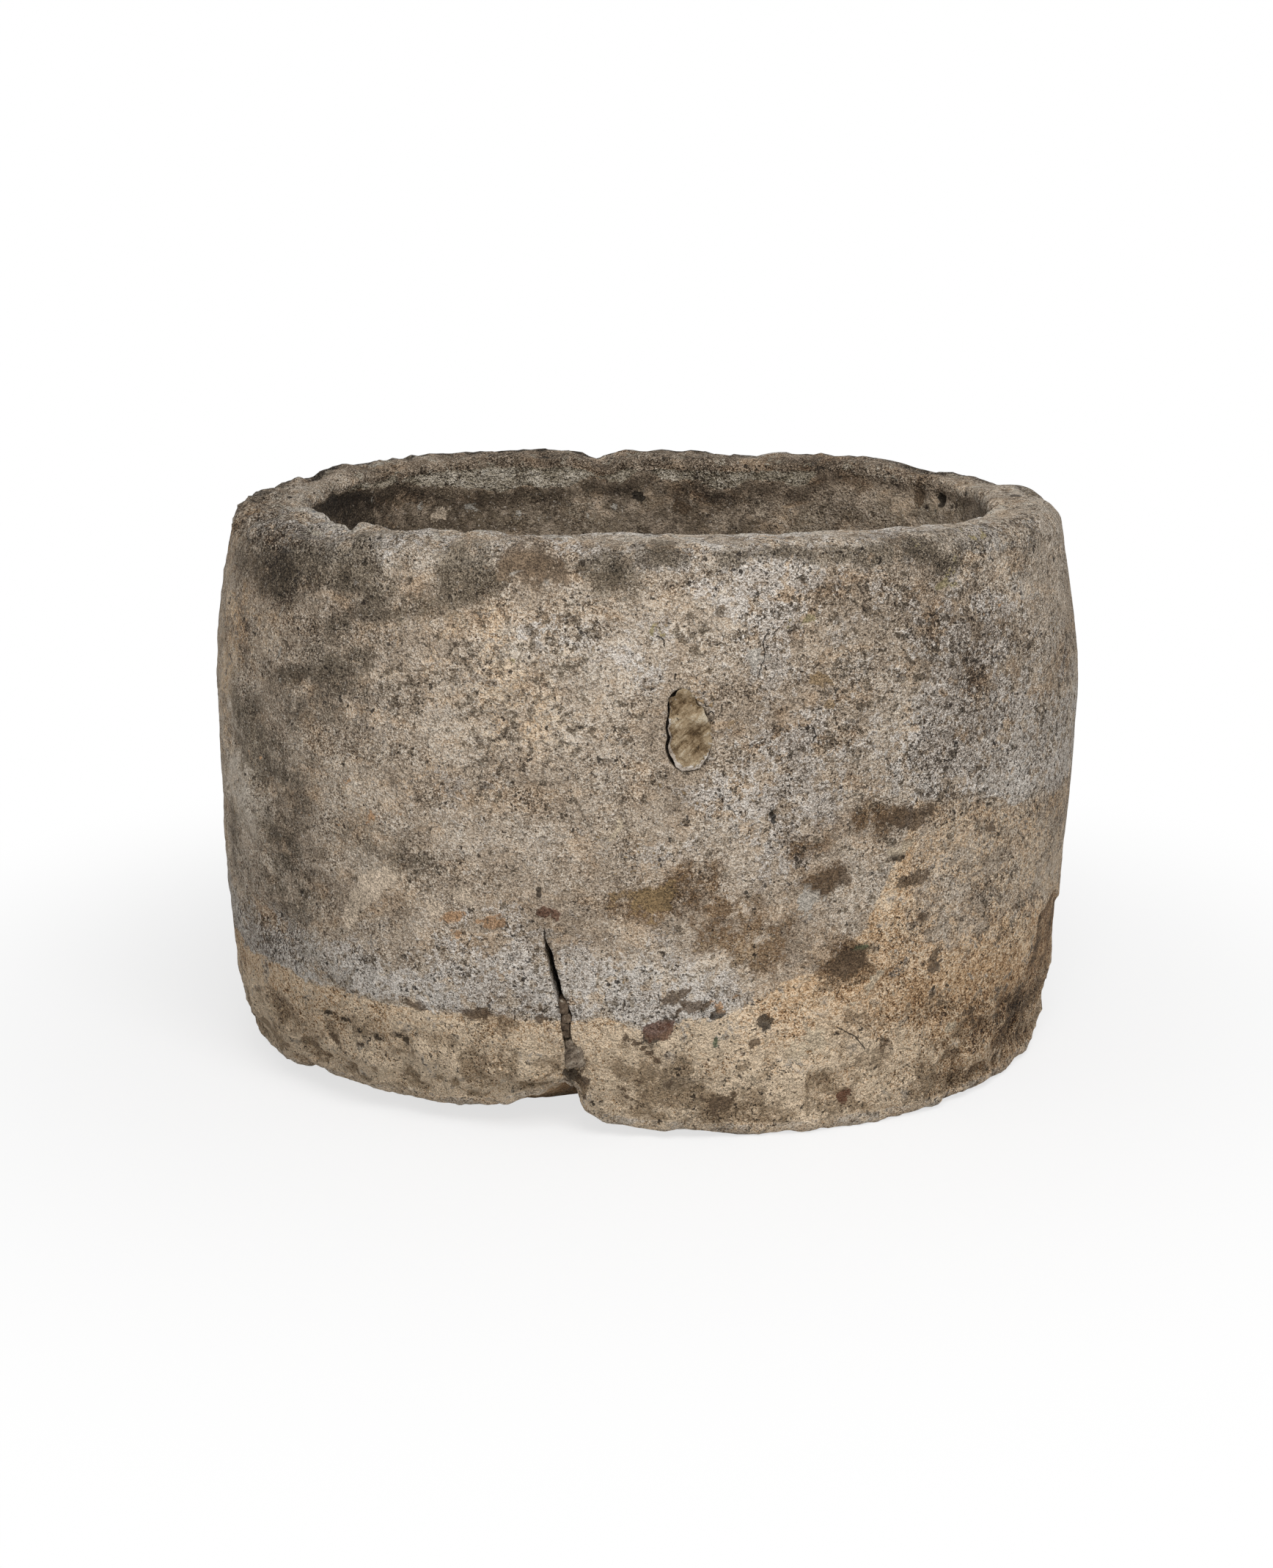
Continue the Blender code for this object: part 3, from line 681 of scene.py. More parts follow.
# Lumps and chips of the rim: x, y, z, spread, spread up, metres outwards
LUMPS = np.array([
    (-0.396, -0.01, 0.65, 0.016, 0.012, 0.004), (-0.385, -0.09, 0.65, 0.02, 0.012, 0.0055),
    (-0.35, -0.165, 0.65, 0.018, 0.012, 0.005), (-0.318, -0.2, 0.652, 0.01, 0.012, -0.0015),
    (-0.29, -0.225, 0.652, 0.02, 0.012, 0.005), (-0.235, -0.262, 0.652, 0.014, 0.012, 0.0035),
    (-0.19, -0.284, 0.652, 0.027, 0.014, 0.0075), (-0.158, -0.3, 0.652, 0.009, 0.014, -0.008),
    (-0.195, -0.325, 0.645, 0.03, 0.01, -0.005), (-0.13, -0.3, 0.654, 0.022, 0.012, 0.004),
    (-0.085, -0.295, 0.653, 0.024, 0.012, 0.0025), (-0.439, -0.066, 0.647, 0.018, 0.012, 0.006),
    (-0.427, 0.015, 0.649, 0.014, 0.012, 0.005), (-0.424, 0.075, 0.648, 0.01, 0.012, -0.005),
    (-0.421, 0.133, 0.644, 0.012, 0.012, 0.0055), (-0.403, 0.163, 0.643, 0.008, 0.012, -0.005),
    (-0.385, -0.206, 0.651, 0.019, 0.012, 0.004), (-0.338, -0.242, 0.65, 0.018, 0.012, -0.0045),
    (-0.295, -0.281, 0.649, 0.019, 0.012, 0.004), (-0.25, -0.309, 0.643, 0.021, 0.012, 0.003),
    (0.446, 0.039, 0.645, 0.007, 0.012, -0.005), (0.361, -0.163, 0.649, 0.024, 0.012, 0.002),
    (0.187, -0.277, 0.65, 0.024, 0.012, 0.002), (0.087, -0.291, 0.651, 0.024, 0.012, -0.0015),
    (0.351, 0.141, 0.619, 0.007, 0.008, -0.014), (0.332, 0.17, 0.621, 0.013, 0.011, -0.004),
    (0.214, 0.229, 0.645, 0.009, 0.006, -0.004), (-0.127, 0.285, 0.654, 0.012, 0.01, -0.004),
    (-0.011, 0.254, 0.604, 0.006, 0.006, -0.005),
])


def ridged(place, size, octaves, seed):
    """The sum of (1 - 2 |noise|) / 2^k over the octaves: sharp crests with rounded hollows between."""
    return sum((1.0 - 2.0 * np.abs(noise(place, size / 2**k, seed + 31 * k))) / 2**k for k in range(octaves))


def ellipses(way, height, table, power=3.0):
    """For each row of the table, exp(-d^power), d being the distance in spreads along its tilted axes."""
    for row in table:
        cos, sin = math.cos(math.radians(row[4])), math.sin(math.radians(row[4]))
        right, up = way - row[0], height - row[1]
        d2 = ((right * cos + up * sin) / row[2]) ** 2 + ((up * cos - right * sin) / row[3]) ** 2
        yield row, np.exp(-(d2 ** (power / 2)))


def spreads_away(x, y, z, wide, tall):
    """The squared distance to a place, ((dx^2 + dy^2) / wide^2 + dz^2 / tall^2)."""
    return ((block_x - x) ** 2 + (block_y - y) ** 2) / wide**2 + ((level - z) / tall) ** 2


# Where a point lies: shares of the outside, the rim, the basin, the underside, the left end and the low band
LEFT_END, LEFT_END_SPREAD = 205.0, 42.0
LOW_BAND = (0.07, 0.15)

outer = smooth(across, ARCH, 0.3) * (1.0 - smooth(across, 1.02, 1.3))
on_rim = smooth(across, 0.75, 1.05) * (1.0 - smooth(across, 2.2, 2.8)) * smooth(level, 0.58, 0.62)
on_inside = smooth(across, 1.9, 2.6)
on_underside = across <= ARCH
left_end = hump(turned(plan_bearing, LEFT_END), LEFT_END_SPREAD)
low_band = 1.0 - smooth(level, *LOW_BAND)

# How rough the stone is, times which the small relief stands out
craggy = 0.35 + 0.35 * left_end * smooth(level, 0.1, 0.3) + 1.1 * low_band * outer
rim_wear = 0.5 + 1.8 * hump(turned(plan_bearing, 195.0), 50.0) + 0.9 * smooth(block_y, 0.1, 0.2)
craggy = craggy + on_rim * rim_wear
craggy = craggy + 1.6 * on_underside * smooth(broken(block_x, block_y), 0.0, 0.1)
craggy = craggy * (1.0 - 0.75 * on_inside * (1.0 - smooth(level, 0.60, 0.63)))

# Relief of the skin, metres outwards: waves, crests of the worn end, clods of the low band and pits
BROAD_RELIEF, SMALL_RELIEF, TINY_RELIEF = 0.0018, 0.0020, 0.0011
RIM_CREST, END_CREST, CLOD_RELIEF = 0.0042, 0.0010, 0.0034
PIT_SPACING, PIT_SPREAD, PIT_DEPTH, PIT_FROM = 0.022, 0.0035, 0.0028, 0.2
FACET_DEPTH, UNDERCUT_DEPTH = 0.0045, 0.0050

broad = fractal(points, 0.090, 2, 3)
small = fractal(points, 0.034, 3, 41)
tiny = fractal(points, 0.011, 2, 71)
crest = ridged(points, 0.045, 3, 203) - 1.0
relief = BROAD_RELIEF * broad + craggy * (SMALL_RELIEF * small + TINY_RELIEF * tiny)
rim_crest = RIM_CREST * on_rim * left_end * (1.0 - 0.5 * smooth(block_y, 0.05, 0.15))
relief = relief + (rim_crest + END_CREST * left_end * outer) * crest
clods = ridged(points * np.array([1.0, 1.0, 1.3]), 0.038, 4, 219)
relief = relief + CLOD_RELIEF * low_band * outer * clods
pit_gap, pit_value = cell_distance(points, PIT_SPACING, 5)
pits = hump(pit_gap, PIT_SPREAD) * (pit_value > PIT_FROM)
relief = relief - np.clip(craggy, 0.3, 1.6) * PIT_DEPTH * pits
for row, share in ellipses(girth, level, DENTS, 4.0):
    relief = relief + row[5] * share * outer
facet_top = np.interp(girth, FACET[:, 0], FACET[:, 1]) + 0.006 * fractal(points, 0.05, 3, 231)
facet = smooth(facet_top - level, 0.0, 0.006) * outer
undercut = smooth(0.05 - level, 0.0, 0.03) * (1.0 - smooth(girth, 0.44, 0.52))
relief = relief - (FACET_DEPTH + UNDERCUT_DEPTH * undercut) * facet
for *place, amount in LUMPS:
    relief = relief + amount * np.exp(-spreads_away(*place))
relief = np.where(across == UNDERSIDE, 0.0, relief)

# The crack and the hole sink straight into the wall. The crack is shallow under its mortar.
CRACK_DEPTH, CRACK_DEPTH_LOW, CRACK_DEEP_FROM = 0.048, 0.004, 0.088
HOLE_DEPTH = 0.011
strip_share = (columns - (CRACK_BEARING - CRACK_STRIP)) / (2.0 * CRACK_STRIP)
in_crack = (strip_share > 0.01) & (strip_share < 0.99) & (across >= FOOT) & (across <= WALL)
crack_depth = in_crack * smooth(CRACK_HEIGHT + 0.001 - level, 0.0, 0.006)
crack_depth = crack_depth * np.where(level < CRACK_DEEP_FROM, CRACK_DEPTH_LOW, CRACK_DEPTH)
hole_depth = HOLE_DEPTH * (1.0 - smooth(plug_radius, 0.905, 0.999))

shaped = points + normals * (relief - hole_depth)[..., None]
shaped[..., 1] += crack_depth
shaped[..., 2] = np.maximum(shaped[..., 2], 0.0)


def closed_mesh(name, grid):
    """A closed mesh over a grid of rows by columns: quads between the rows, and a fan at each end."""
    rows, count = grid.shape[:2]
    ends = np.stack([grid[0].mean(axis=0), grid[-1].mean(axis=0)])
    vertices = np.concatenate([grid.reshape(-1, 3), ends])
    index = np.arange(rows * count).reshape(rows, count)
    after = np.roll(index, -1, axis=1)
    quads = np.stack([index[:-1], after[:-1], after[1:], index[1:]], axis=-1).reshape(-1, 4)
    first = np.stack([after[0], index[0], np.full(count, rows * count)], axis=-1)
    last_fan = np.stack([index[-1], after[-1], np.full(count, rows * count + 1)], axis=-1)
    mesh = bpy.data.meshes.new(name)
    mesh.from_pydata(vertices.tolist(), [], quads.tolist() + first.tolist() + last_fan.tolist())
    mesh.shade_smooth()
    return mesh


def give_values(mesh, name, values):
    """Stores one number per grid point, and the end rows' mean on the two end points."""
    flat = np.concatenate([values.reshape(-1), [values[0].mean(), values[-1].mean()]])
    attribute = mesh.attributes.new(name, "FLOAT", "POINT")
    attribute.data.foreach_set("value", flat.astype(np.float32))


def give_colors(mesh, name, colors):
    """Stores one linear colour per grid point, and the end rows' mean on the two end points."""
    flat = np.concatenate([colors.reshape(-1, 4), [colors[0].mean(axis=0), colors[-1].mean(axis=0)]])
    attribute = mesh.attributes.new(name, "FLOAT_COLOR", "POINT")
    attribute.data.foreach_set("color", flat.reshape(-1).astype(np.float32))


def add_piece(name, mesh, material, slot_name, *nodes):
    """A piece of the object that stands for the named CAD nodes."""
    piece = bpy.data.objects.new(name, mesh)
    mesh.materials.append(material)
    scene.collection.objects.link(piece)
    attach(piece, "root")
    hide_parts(*nodes)


block_mesh = closed_mesh("trough_block", shaped)

# Stains of the outside: way round from the front's middle, height, spread round, spread up, tilt, strength
ALGAE = np.array([
    (-0.473, 0.612, 0.09, 0.041, 0, 0.5), (-0.409, 0.61, 0.06, 0.034, 0, 0.75),
    (-0.369, 0.624, 0.05, 0.028, 0, 0.7), (-0.315, 0.629, 0.036, 0.032, 0, 0.7),
    (-0.299, 0.608, 0.04, 0.026, 0, 0.75), (-0.195, 0.62, 0.034, 0.031, 0, 1.0),
    (-0.198, 0.636, 0.029, 0.015, 0, 0.9), (-0.249, 0.586, 0.049, 0.022, 0, 0.5),
    (-0.307, 0.567, 0.053, 0.012, 15, 0.65), (-0.341, 0.543, 0.033, 0.012, 15, 0.5),
    (-0.36, 0.507, 0.085, 0.015, 14, 0.7), (-0.308, 0.524, 0.044, 0.014, 12, 0.6),
    (-0.313, 0.495, 0.053, 0.017, 0, 0.45), (-0.484, 0.445, 0.039, 0.037, 0, 0.9),
    (-0.459, 0.419, 0.033, 0.042, 0, 0.9), (-0.443, 0.4, 0.04, 0.034, 0, 0.8),
    (-0.369, 0.462, 0.072, 0.022, 0, 0.45), (-0.395, 0.385, 0.046, 0.042, 0, 0.6),
    (-0.42, 0.321, 0.055, 0.03, -20, 0.55), (-0.396, 0.305, 0.035, 0.025, -20, 0.35),
    (-0.406, 0.267, 0.073, 0.03, -25, 0.5), (-0.424, 0.245, 0.064, 0.03, -25, 0.45),
    (-0.528, 0.307, 0.051, 0.032, 0, 0.5), (-0.362, 0.172, 0.055, 0.016, -30, 0.5),
    (-0.521, 0.252, 0.061, 0.036, 0, 0.4), (-0.271, 0.333, 0.071, 0.033, 0, 0.35),
    (-0.254, 0.312, 0.042, 0.021, 0, 0.5), (0.021, 0.64, 0.033, 0.014, 0, 0.9),
    (-0.04, 0.63, 0.036, 0.02, 0, 0.9), (-0.03, 0.612, 0.024, 0.011, 0, 0.6),
    (-0.076, 0.635, 0.016, 0.01, 0, 0.7), (0.087, 0.64, 0.026, 0.01, 0, 0.7),
    (0.157, 0.638, 0.051, 0.01, 0, 0.6), (-0.16, 0.615, 0.02, 0.015, 0, 0.6),
    (0.233, 0.634, 0.068, 0.01, 0, 0.8), (0.293, 0.63, 0.079, 0.012, 0, 0.6),
    (0.348, 0.632, 0.049, 0.02, 0, 0.6), (0.446, 0.632, 0.059, 0.012, 0, 0.4),
    (0.497, 0.604, 0.055, 0.039, 0, 0.3),
])
LICHEN = np.array([
    (-0.151, 0.538, 0.085, 0.045, 0, 0.7), (-0.126, 0.47, 0.068, 0.046, 0, 0.9),
    (-0.18, 0.492, 0.054, 0.038, 0, 0.7), (-0.249, 0.515, 0.033, 0.03, 0, 0.6),
    (-0.24, 0.489, 0.017, 0.014, 0, 1.0), (-0.098, 0.568, 0.055, 0.037, 0, 0.5),
    (0.054, 0.565, 0.055, 0.016, 12, 0.8), (-0.065, 0.463, 0.045, 0.031, 0, 0.5),
    (0.251, 0.557, 0.092, 0.061, 0, 0.6), (0.331, 0.518, 0.058, 0.078, 0, 0.5),
    (0.206, 0.468, 0.098, 0.047, 0, 0.5), (0.281, 0.322, 0.036, 0.025, 0, 0.7),
    (0.336, 0.356, 0.068, 0.033, 0, 0.4), (-0.125, 0.4, 0.061, 0.032, 0, 0.4),
])
BLOOM = np.array([
    (0.394, 0.429, 0.146, 0.066, 0, 1.0), (0.373, 0.545, 0.129, 0.071, 0, 0.7),
    (0.139, 0.609, 0.097, 0.045, 0, 0.85), (0.16, 0.367, 0.048, 0.057, 0, 0.9),
    (0.088, 0.388, 0.047, 0.024, 0, 0.5), (0.034, 0.318, 0.039, 0.032, 0, 0.5),
    (-0.098, 0.568, 0.047, 0.018, 0, 0.75), (0.128, 0.549, 0.047, 0.038, 0, 0.8),
    (-0.005, 0.538, 0.046, 0.038, 0, 0.65), (0.079, 0.428, 0.055, 0.045, 0, 0.55),
    (0.174, 0.454, 0.056, 0.047, 0, 0.7), (-0.512, 0.183, 0.142, 0.02, -15, 0.9),
    (-0.377, 0.193, 0.091, 0.021, -20, 0.8), (-0.299, 0.181, 0.077, 0.025, -15, 1.0),
    (-0.211, 0.191, 0.076, 0.039, 0, 0.7), (-0.147, 0.187, 0.048, 0.039, 0, 1.0),
    (-0.153, 0.229, 0.048, 0.05, 0, 0.8), (-0.067, 0.18, 0.072, 0.034, 0, 1.0),
    (-0.004, 0.158, 0.047, 0.019, 0, 0.8), (-0.035, 0.213, 0.063, 0.033, 0, 0.7),
    (0.059, 0.189, 0.056, 0.018, 0, 0.7), (-0.203, 0.381, 0.079, 0.048, 0, 0.25),
    (0.137, 0.32, 0.048, 0.041, 0, 0.5),
])
BROWN = np.array([
    (0.007, 0.282, 0.054, 0.028, 20, 0.9), (0.058, 0.288, 0.047, 0.036, 20, 0.62),
    (0.098, 0.249, 0.056, 0.037, 0, 0.6), (0.131, 0.214, 0.048, 0.033, 0, 0.6),
    (0.197, 0.292, 0.024, 0.016, 0, 1.0), (0.223, 0.196, 0.039, 0.032, 0, 0.9),
    (0.177, 0.333, 0.041, 0.023, 0, 0.6), (0.093, 0.042, 0.048, 0.021, 0, 0.9),
    (-0.004, 0.067, 0.049, 0.03, 0, 0.7), (0.209, 0.036, 0.06, 0.021, 0, 0.5),
    (0.28, 0.077, 0.067, 0.021, 0, 0.4), (0.242, 0.126, 0.053, 0.021, 0, 0.6),
    (0.358, 0.123, 0.065, 0.023, 0, 0.4), (-0.454, 0.102, 0.032, 0.027, 0, 0.7),
    (-0.133, 0.634, 0.042, 0.015, 0, 0.9), (-0.158, 0.138, 0.033, 0.018, 0, 0.6),
    (-0.312, 0.116, 0.03, 0.016, 0, 0.5), (-0.23, 0.11, 0.027, 0.014, 0, 0.5),
    (-0.393, 0.099, 0.08, 0.023, 0, 0.4), (0.241, 0.177, 0.053, 0.017, 0, 0.5),
    (0.543, 0.071, 0.083, 0.036, 0, 0.8), (0.266, 0.353, 0.045, 0.02, 0, 0.8),
    (-0.02, 0.102, 0.032, 0.018, 0, 0.5),
])

# Shore, way round and height: the stone is bare below this line and lime blooms above it
SHORE = np.array([
    (-0.8, 0.17), (-0.501, 0.164), (-0.411, 0.161), (-0.335, 0.157), (-0.254, 0.153), (-0.19, 0.15),
    (-0.144, 0.145), (-0.098, 0.149), (-0.044, 0.141), (0.012, 0.138), (0.06, 0.147), (0.102, 0.158),
    (0.144, 0.176), (0.197, 0.192), (0.251, 0.236), (0.282, 0.299), (0.305, 0.346), (0.313, 0.376),
    (0.364, 0.372), (0.419, 0.357), (0.482, 0.351), (0.548, 0.342), (0.62, 0.34), (0.8, 0.3),
])

# Lower edge of the pale crust on the far inner wall: x and height
CRUST = np.array([
    (-0.42, 0.64), (-0.346, 0.63), (-0.321, 0.625), (-0.304, 0.632), (-0.285, 0.621), (-0.255, 0.619),
    (-0.22, 0.613), (-0.178, 0.612), (-0.154, 0.62), (-0.13, 0.613), (-0.099, 0.613), (-0.071, 0.631),
    (-0.043, 0.623), (-0.027, 0.625), (-0.012, 0.639), (0.008, 0.632), (0.036, 0.622), (0.059, 0.628),
    (0.083, 0.617), (0.106, 0.617), (0.125, 0.627), (0.145, 0.626), (0.169, 0.626), (0.184, 0.623),
    (0.199, 0.624), (0.211, 0.64), (0.233, 0.647), (0.285, 0.646), (0.42, 0.65),
])

# Lighter (more than 0) and darker places of the wall: as the stains, with a step of tone last
TONES = np.array([
    (-0.12, 0.51, 0.11, 0.08, 0, 0.16), (0.4, 0.5, 0.12, 0.11, 0, -0.22),
    (0.26, 0.57, 0.09, 0.05, 0, -0.12), (0.39, 0.27, 0.1, 0.08, 0, -0.15),
    (0.3, 0.14, 0.07, 0.05, 0, -0.16), (-0.43, 0.61, 0.08, 0.045, 0, -0.32),
    (-0.49, 0.35, 0.05, 0.07, 0, 0.42), (-0.34, 0.54, 0.11, 0.07, 0, -0.11),
    (-0.195, 0.622, 0.04, 0.03, 0, 0.1), (-0.21, 0.11, 0.13, 0.055, 0, 0.16),
    (-0.42, 0.09, 0.07, 0.05, 0, -0.12), (-0.043, 0.19, 0.09, 0.04, 0, 0.16),
    (-0.25, 0.185, 0.11, 0.03, 0, 0.1), (0.126, 0.219, 0.06, 0.04, 0, 0.18),
    (0.03, 0.285, 0.07, 0.04, 0, -0.1), (0.035, 0.574, 0.08, 0.04, 0, 0.14),
    (0.05, 0.09, 0.16, 0.07, 0, 0.32), (0.25, 0.11, 0.08, 0.07, 0, 0.1), (0.49, 0.07, 0.1, 0.08, 0, -0.6),
])

# Small marks of the wall, under their colours: way round, height, spread round, spread up, tilt, strength
DARK_AND_DENT_SHADE, VOID_SHADE, RUST, PALE = (52, 43, 34), (12, 10, 8), (94, 60, 44), (176, 169, 158)
UMBER, BROWN_MARK, OCHRE, ORANGE = (126, 108, 89), (92, 75, 58), (152, 128, 96), (170, 134, 100)
CREAM, SMEAR, MOSS, LICHEN_YELLOW = (190, 174, 150), (203, 185, 163), (84, 92, 68), (150, 138, 102)
EARTH = (140, 117, 84)
MARKS = {
    # Dark spots. Most lie in dents, where the dark stands partly for painted shade.
    DARK_AND_DENT_SHADE: (
        (-0.076, 0.636, 0.005, 0.0052, 0, 1.0), (-0.113, 0.29, 0.0051, 0.0057, 0, 1.0),
        (0.009, 0.134, 0.015, 0.0125, 0, 0.75), (0.075, 0.148, 0.0066, 0.0042, 0, 1.0),
        (0.128, 0.137, 0.0095, 0.0066, 0, 1.0), (0.289, 0.308, 0.0087, 0.0058, 0, 1.0),
        (-0.001, 0.305, 0.0085, 0.0032, 10, 1.0), (-0.349, 0.11, 0.0093, 0.0054, 0, 0.9),
        (-0.306, 0.099, 0.008, 0.0045, 0, 0.9), (-0.27, 0.102, 0.0074, 0.0045, 0, 0.9),
        (-0.374, 0.117, 0.0111, 0.0054, 0, 0.9), (-0.088, 0.072, 0.01, 0.019, 0, 1.0),
    ),
    RUST: (
        (-0.013, 0.652, 0.0083, 0.0003, 0, 1.0), (-0.11, 0.268, 0.0066, 0.0058, 0, 1.0),
        (-0.097, 0.268, 0.0067, 0.0066, 0, 1.0), (0.009, 0.134, 0.012, 0.0105, 0, 1.2),
        (0.227, 0.042, 0.0086, 0.0061, 0, 0.9), (0.251, 0.143, 0.009, 0.005, 0, 0.45),
    ),
    PALE: (
        (-0.143, 0.627, 0.0045, 0.0022, 20, 1.0), (-0.126, 0.628, 0.0031, 0.0022, 0, 0.9),
        (-0.111, 0.62, 0.0053, 0.0029, 20, 1.0), (-0.41, 0.537, 0.0368, 0.0021, 92, 0.8),
        (0.178, 0.272, 0.0125, 0.0107, 0, 0.9), (0.118, 0.539, 0.0066, 0.0106, 0, 0.8),
    ),
    UMBER: (
        (-0.127, 0.634, 0.04, 0.0168, -8, 1.0), (0.024, 0.12, 0.01, 0.007, 0, 0.6),
    ),
    LICHEN_YELLOW: (
        (0.176, 0.574, 0.0087, 0.006, 0, 0.9), (0.154, 0.563, 0.0051, 0.003, 0, 0.8),
        (0.352, 0.598, 0.008, 0.0069, 0, 0.9), (0.368, 0.597, 0.0052, 0.0031, 0, 0.8),
        (0.0, 0.565, 0.0047, 0.003, 0, 0.8), (-0.078, 0.55, 0.0037, 0.003, 0, 0.8),
        (-0.138, 0.539, 0.0044, 0.003, 0, 0.8),
    ),
    OCHRE: (
        (0.19, 0.51, 0.0155, 0.0107, 0, 0.6), (0.198, 0.482, 0.0095, 0.0062, 0, 0.7),
        (-0.027, 0.285, 0.02, 0.007, -20, 0.5), (-0.137, 0.372, 0.0115, 0.008, 0, 0.4),
        (0.09, 0.474, 0.0097, 0.0062, 0, 0.4), (0.252, 0.504, 0.0182, 0.0062, 0, 0.4),
    ),
    ORANGE: (
        (0.432, 0.58, 0.006, 0.005, 0, 0.6), (0.073, 0.162, 0.0066, 0.0042, 0, 0.8),
        (-0.206, 0.257, 0.0085, 0.006, 0, 0.9), (-0.164, 0.254, 0.0165, 0.0072, 0, 1.0),
        (-0.251, 0.364, 0.0137, 0.0042, -15, 0.48), (-0.287, 0.359, 0.0079, 0.0041, 0, 0.45),
        (-0.195, 0.238, 0.009, 0.0067, 0, 0.7),
    ),
    BROWN_MARK: (
        (0.023, 0.168, 0.018, 0.007, 15, 0.8), (0.045, 0.156, 0.017, 0.008, -8, 0.85),
        (0.118, 0.114, 0.012, 0.0068, 0, 0.8), (-0.007, 0.11, 0.0224, 0.004, -42, 0.9),
        (-0.027, 0.06, 0.0212, 0.0216, 0, 0.5), (0.087, 0.044, 0.0288, 0.0193, 0, 0.5),
        (-0.166, 0.235, 0.0067, 0.0058, 0, 1.0), (0.306, 0.278, 0.0232, 0.0075, 0, 0.9),
        (0.372, 0.252, 0.013, 0.0085, 0, 0.5), (0.478, 0.219, 0.0198, 0.0135, 0, 0.5),
        (0.447, 0.191, 0.0178, 0.0107, 0, 0.45), (0.347, 0.182, 0.0094, 0.0198, 0, 0.65),
        (0.397, 0.113, 0.0206, 0.0081, 0, 0.5), (0.299, 0.35, 0.0392, 0.0133, 0, 0.9),
        (0.233, 0.189, 0.0241, 0.0168, 0, 0.9), (0.205, 0.292, 0.0244, 0.0148, 0, 0.85),
        (-0.257, 0.15, 0.021, 0.0081, 0, 0.8), (-0.185, 0.148, 0.0174, 0.0072, 0, 0.8),
        (-0.148, 0.167, 0.0138, 0.0069, 0, 0.8), (-0.371, 0.081, 0.0239, 0.0045, -30, 0.6),
        (-0.114, 0.144, 0.0107, 0.0071, 0, 0.7), (-0.08, 0.082, 0.016, 0.022, 0, 0.6),
        (0.39, 0.283, 0.0111, 0.0068, 0, 0.45), (0.416, 0.321, 0.0103, 0.0076, 0, 0.45),
        (0.329, 0.234, 0.0123, 0.0059, 0, 0.6), (0.284, 0.096, 0.0157, 0.0061, 0, 0.6),
        (0.326, 0.063, 0.0193, 0.0071, 0, 0.45), (0.164, 0.059, 0.0176, 0.0078, 0, 0.6),
    ),
    MOSS: (
        (0.074, 0.117, 0.005, 0.0043, 0, 0.6), (0.249, 0.208, 0.008, 0.0045, 0, 0.75),
    ),
    CREAM: (
        (0.177, 0.11, 0.0243, 0.0153, 0, 1.0), (-0.034, 0.361, 0.0128, 0.0032, 75, 0.9),
        (0.292, 0.32, 0.029, 0.0033, 23, 1.0), (0.265, 0.171, 0.0256, 0.0056, 50, 0.9),
        (0.233, 0.15, 0.0112, 0.0076, 0, 0.9), (0.369, 0.098, 0.0123, 0.0071, 0, 0.9),
    ),
    SMEAR: (
        (-0.304, 0.266, 0.033, 0.0078, 64, 1.6), (-0.292, 0.277, 0.033, 0.0066, 58, 1.6),
        (-0.281, 0.287, 0.022, 0.0056, 46, 1.4), (-0.226, 0.266, 0.019, 0.0056, -58, 1.0),
        (-0.217, 0.268, 0.021, 0.0048, -50, 0.9), (-0.186, 0.283, 0.0154, 0.0084, -20, 1.1),
    ),
    # Painted shade: black in a deep hole of the wall.
    VOID_SHADE: (
        (0.136, 0.367, 0.0067, 0.0057, 0, 1.2),
    ),
    EARTH: (
        (0.01, 0.284, 0.042, 0.021, 25, 0.6),
    ),
}

# Small marks of the rim and the basin's wall, under their colours: x, y, z, spread, spread up, strength
RIM_MARKS = {
    # Painted shade: black in two holes of the rim and the basin's wall.
    VOID_SHADE: (
        (-0.011, 0.254, 0.604, 0.005, 0.005, 1.2), (0.351, 0.141, 0.619, 0.007, 0.008, 1.2),
    ),
    BROWN_MARK: (
        (0.332, 0.17, 0.621, 0.013, 0.011, 0.8), (0.043, 0.251, 0.593, 0.02, 0.014, 0.4),
    ),
    # Dark spots. Two lie in dents of the rim, where the dark stands partly for painted shade.
    DARK_AND_DENT_SHADE: (
        (0.303, 0.187, 0.63, 0.004, 0.008, 0.9), (0.377, 0.095, 0.635, 0.005, 0.006, 0.8),
        (0.367, 0.115, 0.617, 0.003, 0.006, 0.8), (0.214, 0.229, 0.645, 0.009, 0.005, 0.9),
        (0.267, 0.208, 0.637, 0.005, 0.004, 0.8), (0.238, 0.219, 0.624, 0.005, 0.004, 0.8),
        (0.425, 0.015, 0.645, 0.009, 0.005, 0.8), (-0.127, 0.285, 0.654, 0.01, 0.006, 0.7),
    ),
    PALE: (
        (-0.28, 0.223, 0.596, 0.009, 0.01, 0.6), (-0.335, 0.184, 0.613, 0.007, 0.009, 0.5),
        (-0.222, 0.244, 0.594, 0.009, 0.008, 0.5), (-0.163, 0.253, 0.583, 0.01, 0.007, 0.5),
        (-0.133, 0.255, 0.578, 0.008, 0.006, 0.5), (-0.113, 0.256, 0.592, 0.009, 0.007, 0.4),
        (-0.076, 0.256, 0.583, 0.009, 0.007, 0.4), (-0.039, 0.255, 0.592, 0.007, 0.006, 0.4),
    ),
    SMEAR: (
        (-0.31, 0.204, 0.586, 0.009, 0.008, 0.5), (-0.258, 0.232, 0.587, 0.012, 0.01, 0.5),
        (0.144, 0.24, 0.585, 0.022, 0.01, 0.5), (-0.338, 0.182, 0.636, 0.005, 0.016, 0.7),
        (0.355, -0.211, 0.648, 0.0192, 0.0064, 0.7), (0.323, -0.231, 0.649, 0.0144, 0.0056, 0.6),
    ),
    ORANGE: (
        (0.446, 0.039, 0.645, 0.01, 0.006, 1.0),
    ),
}

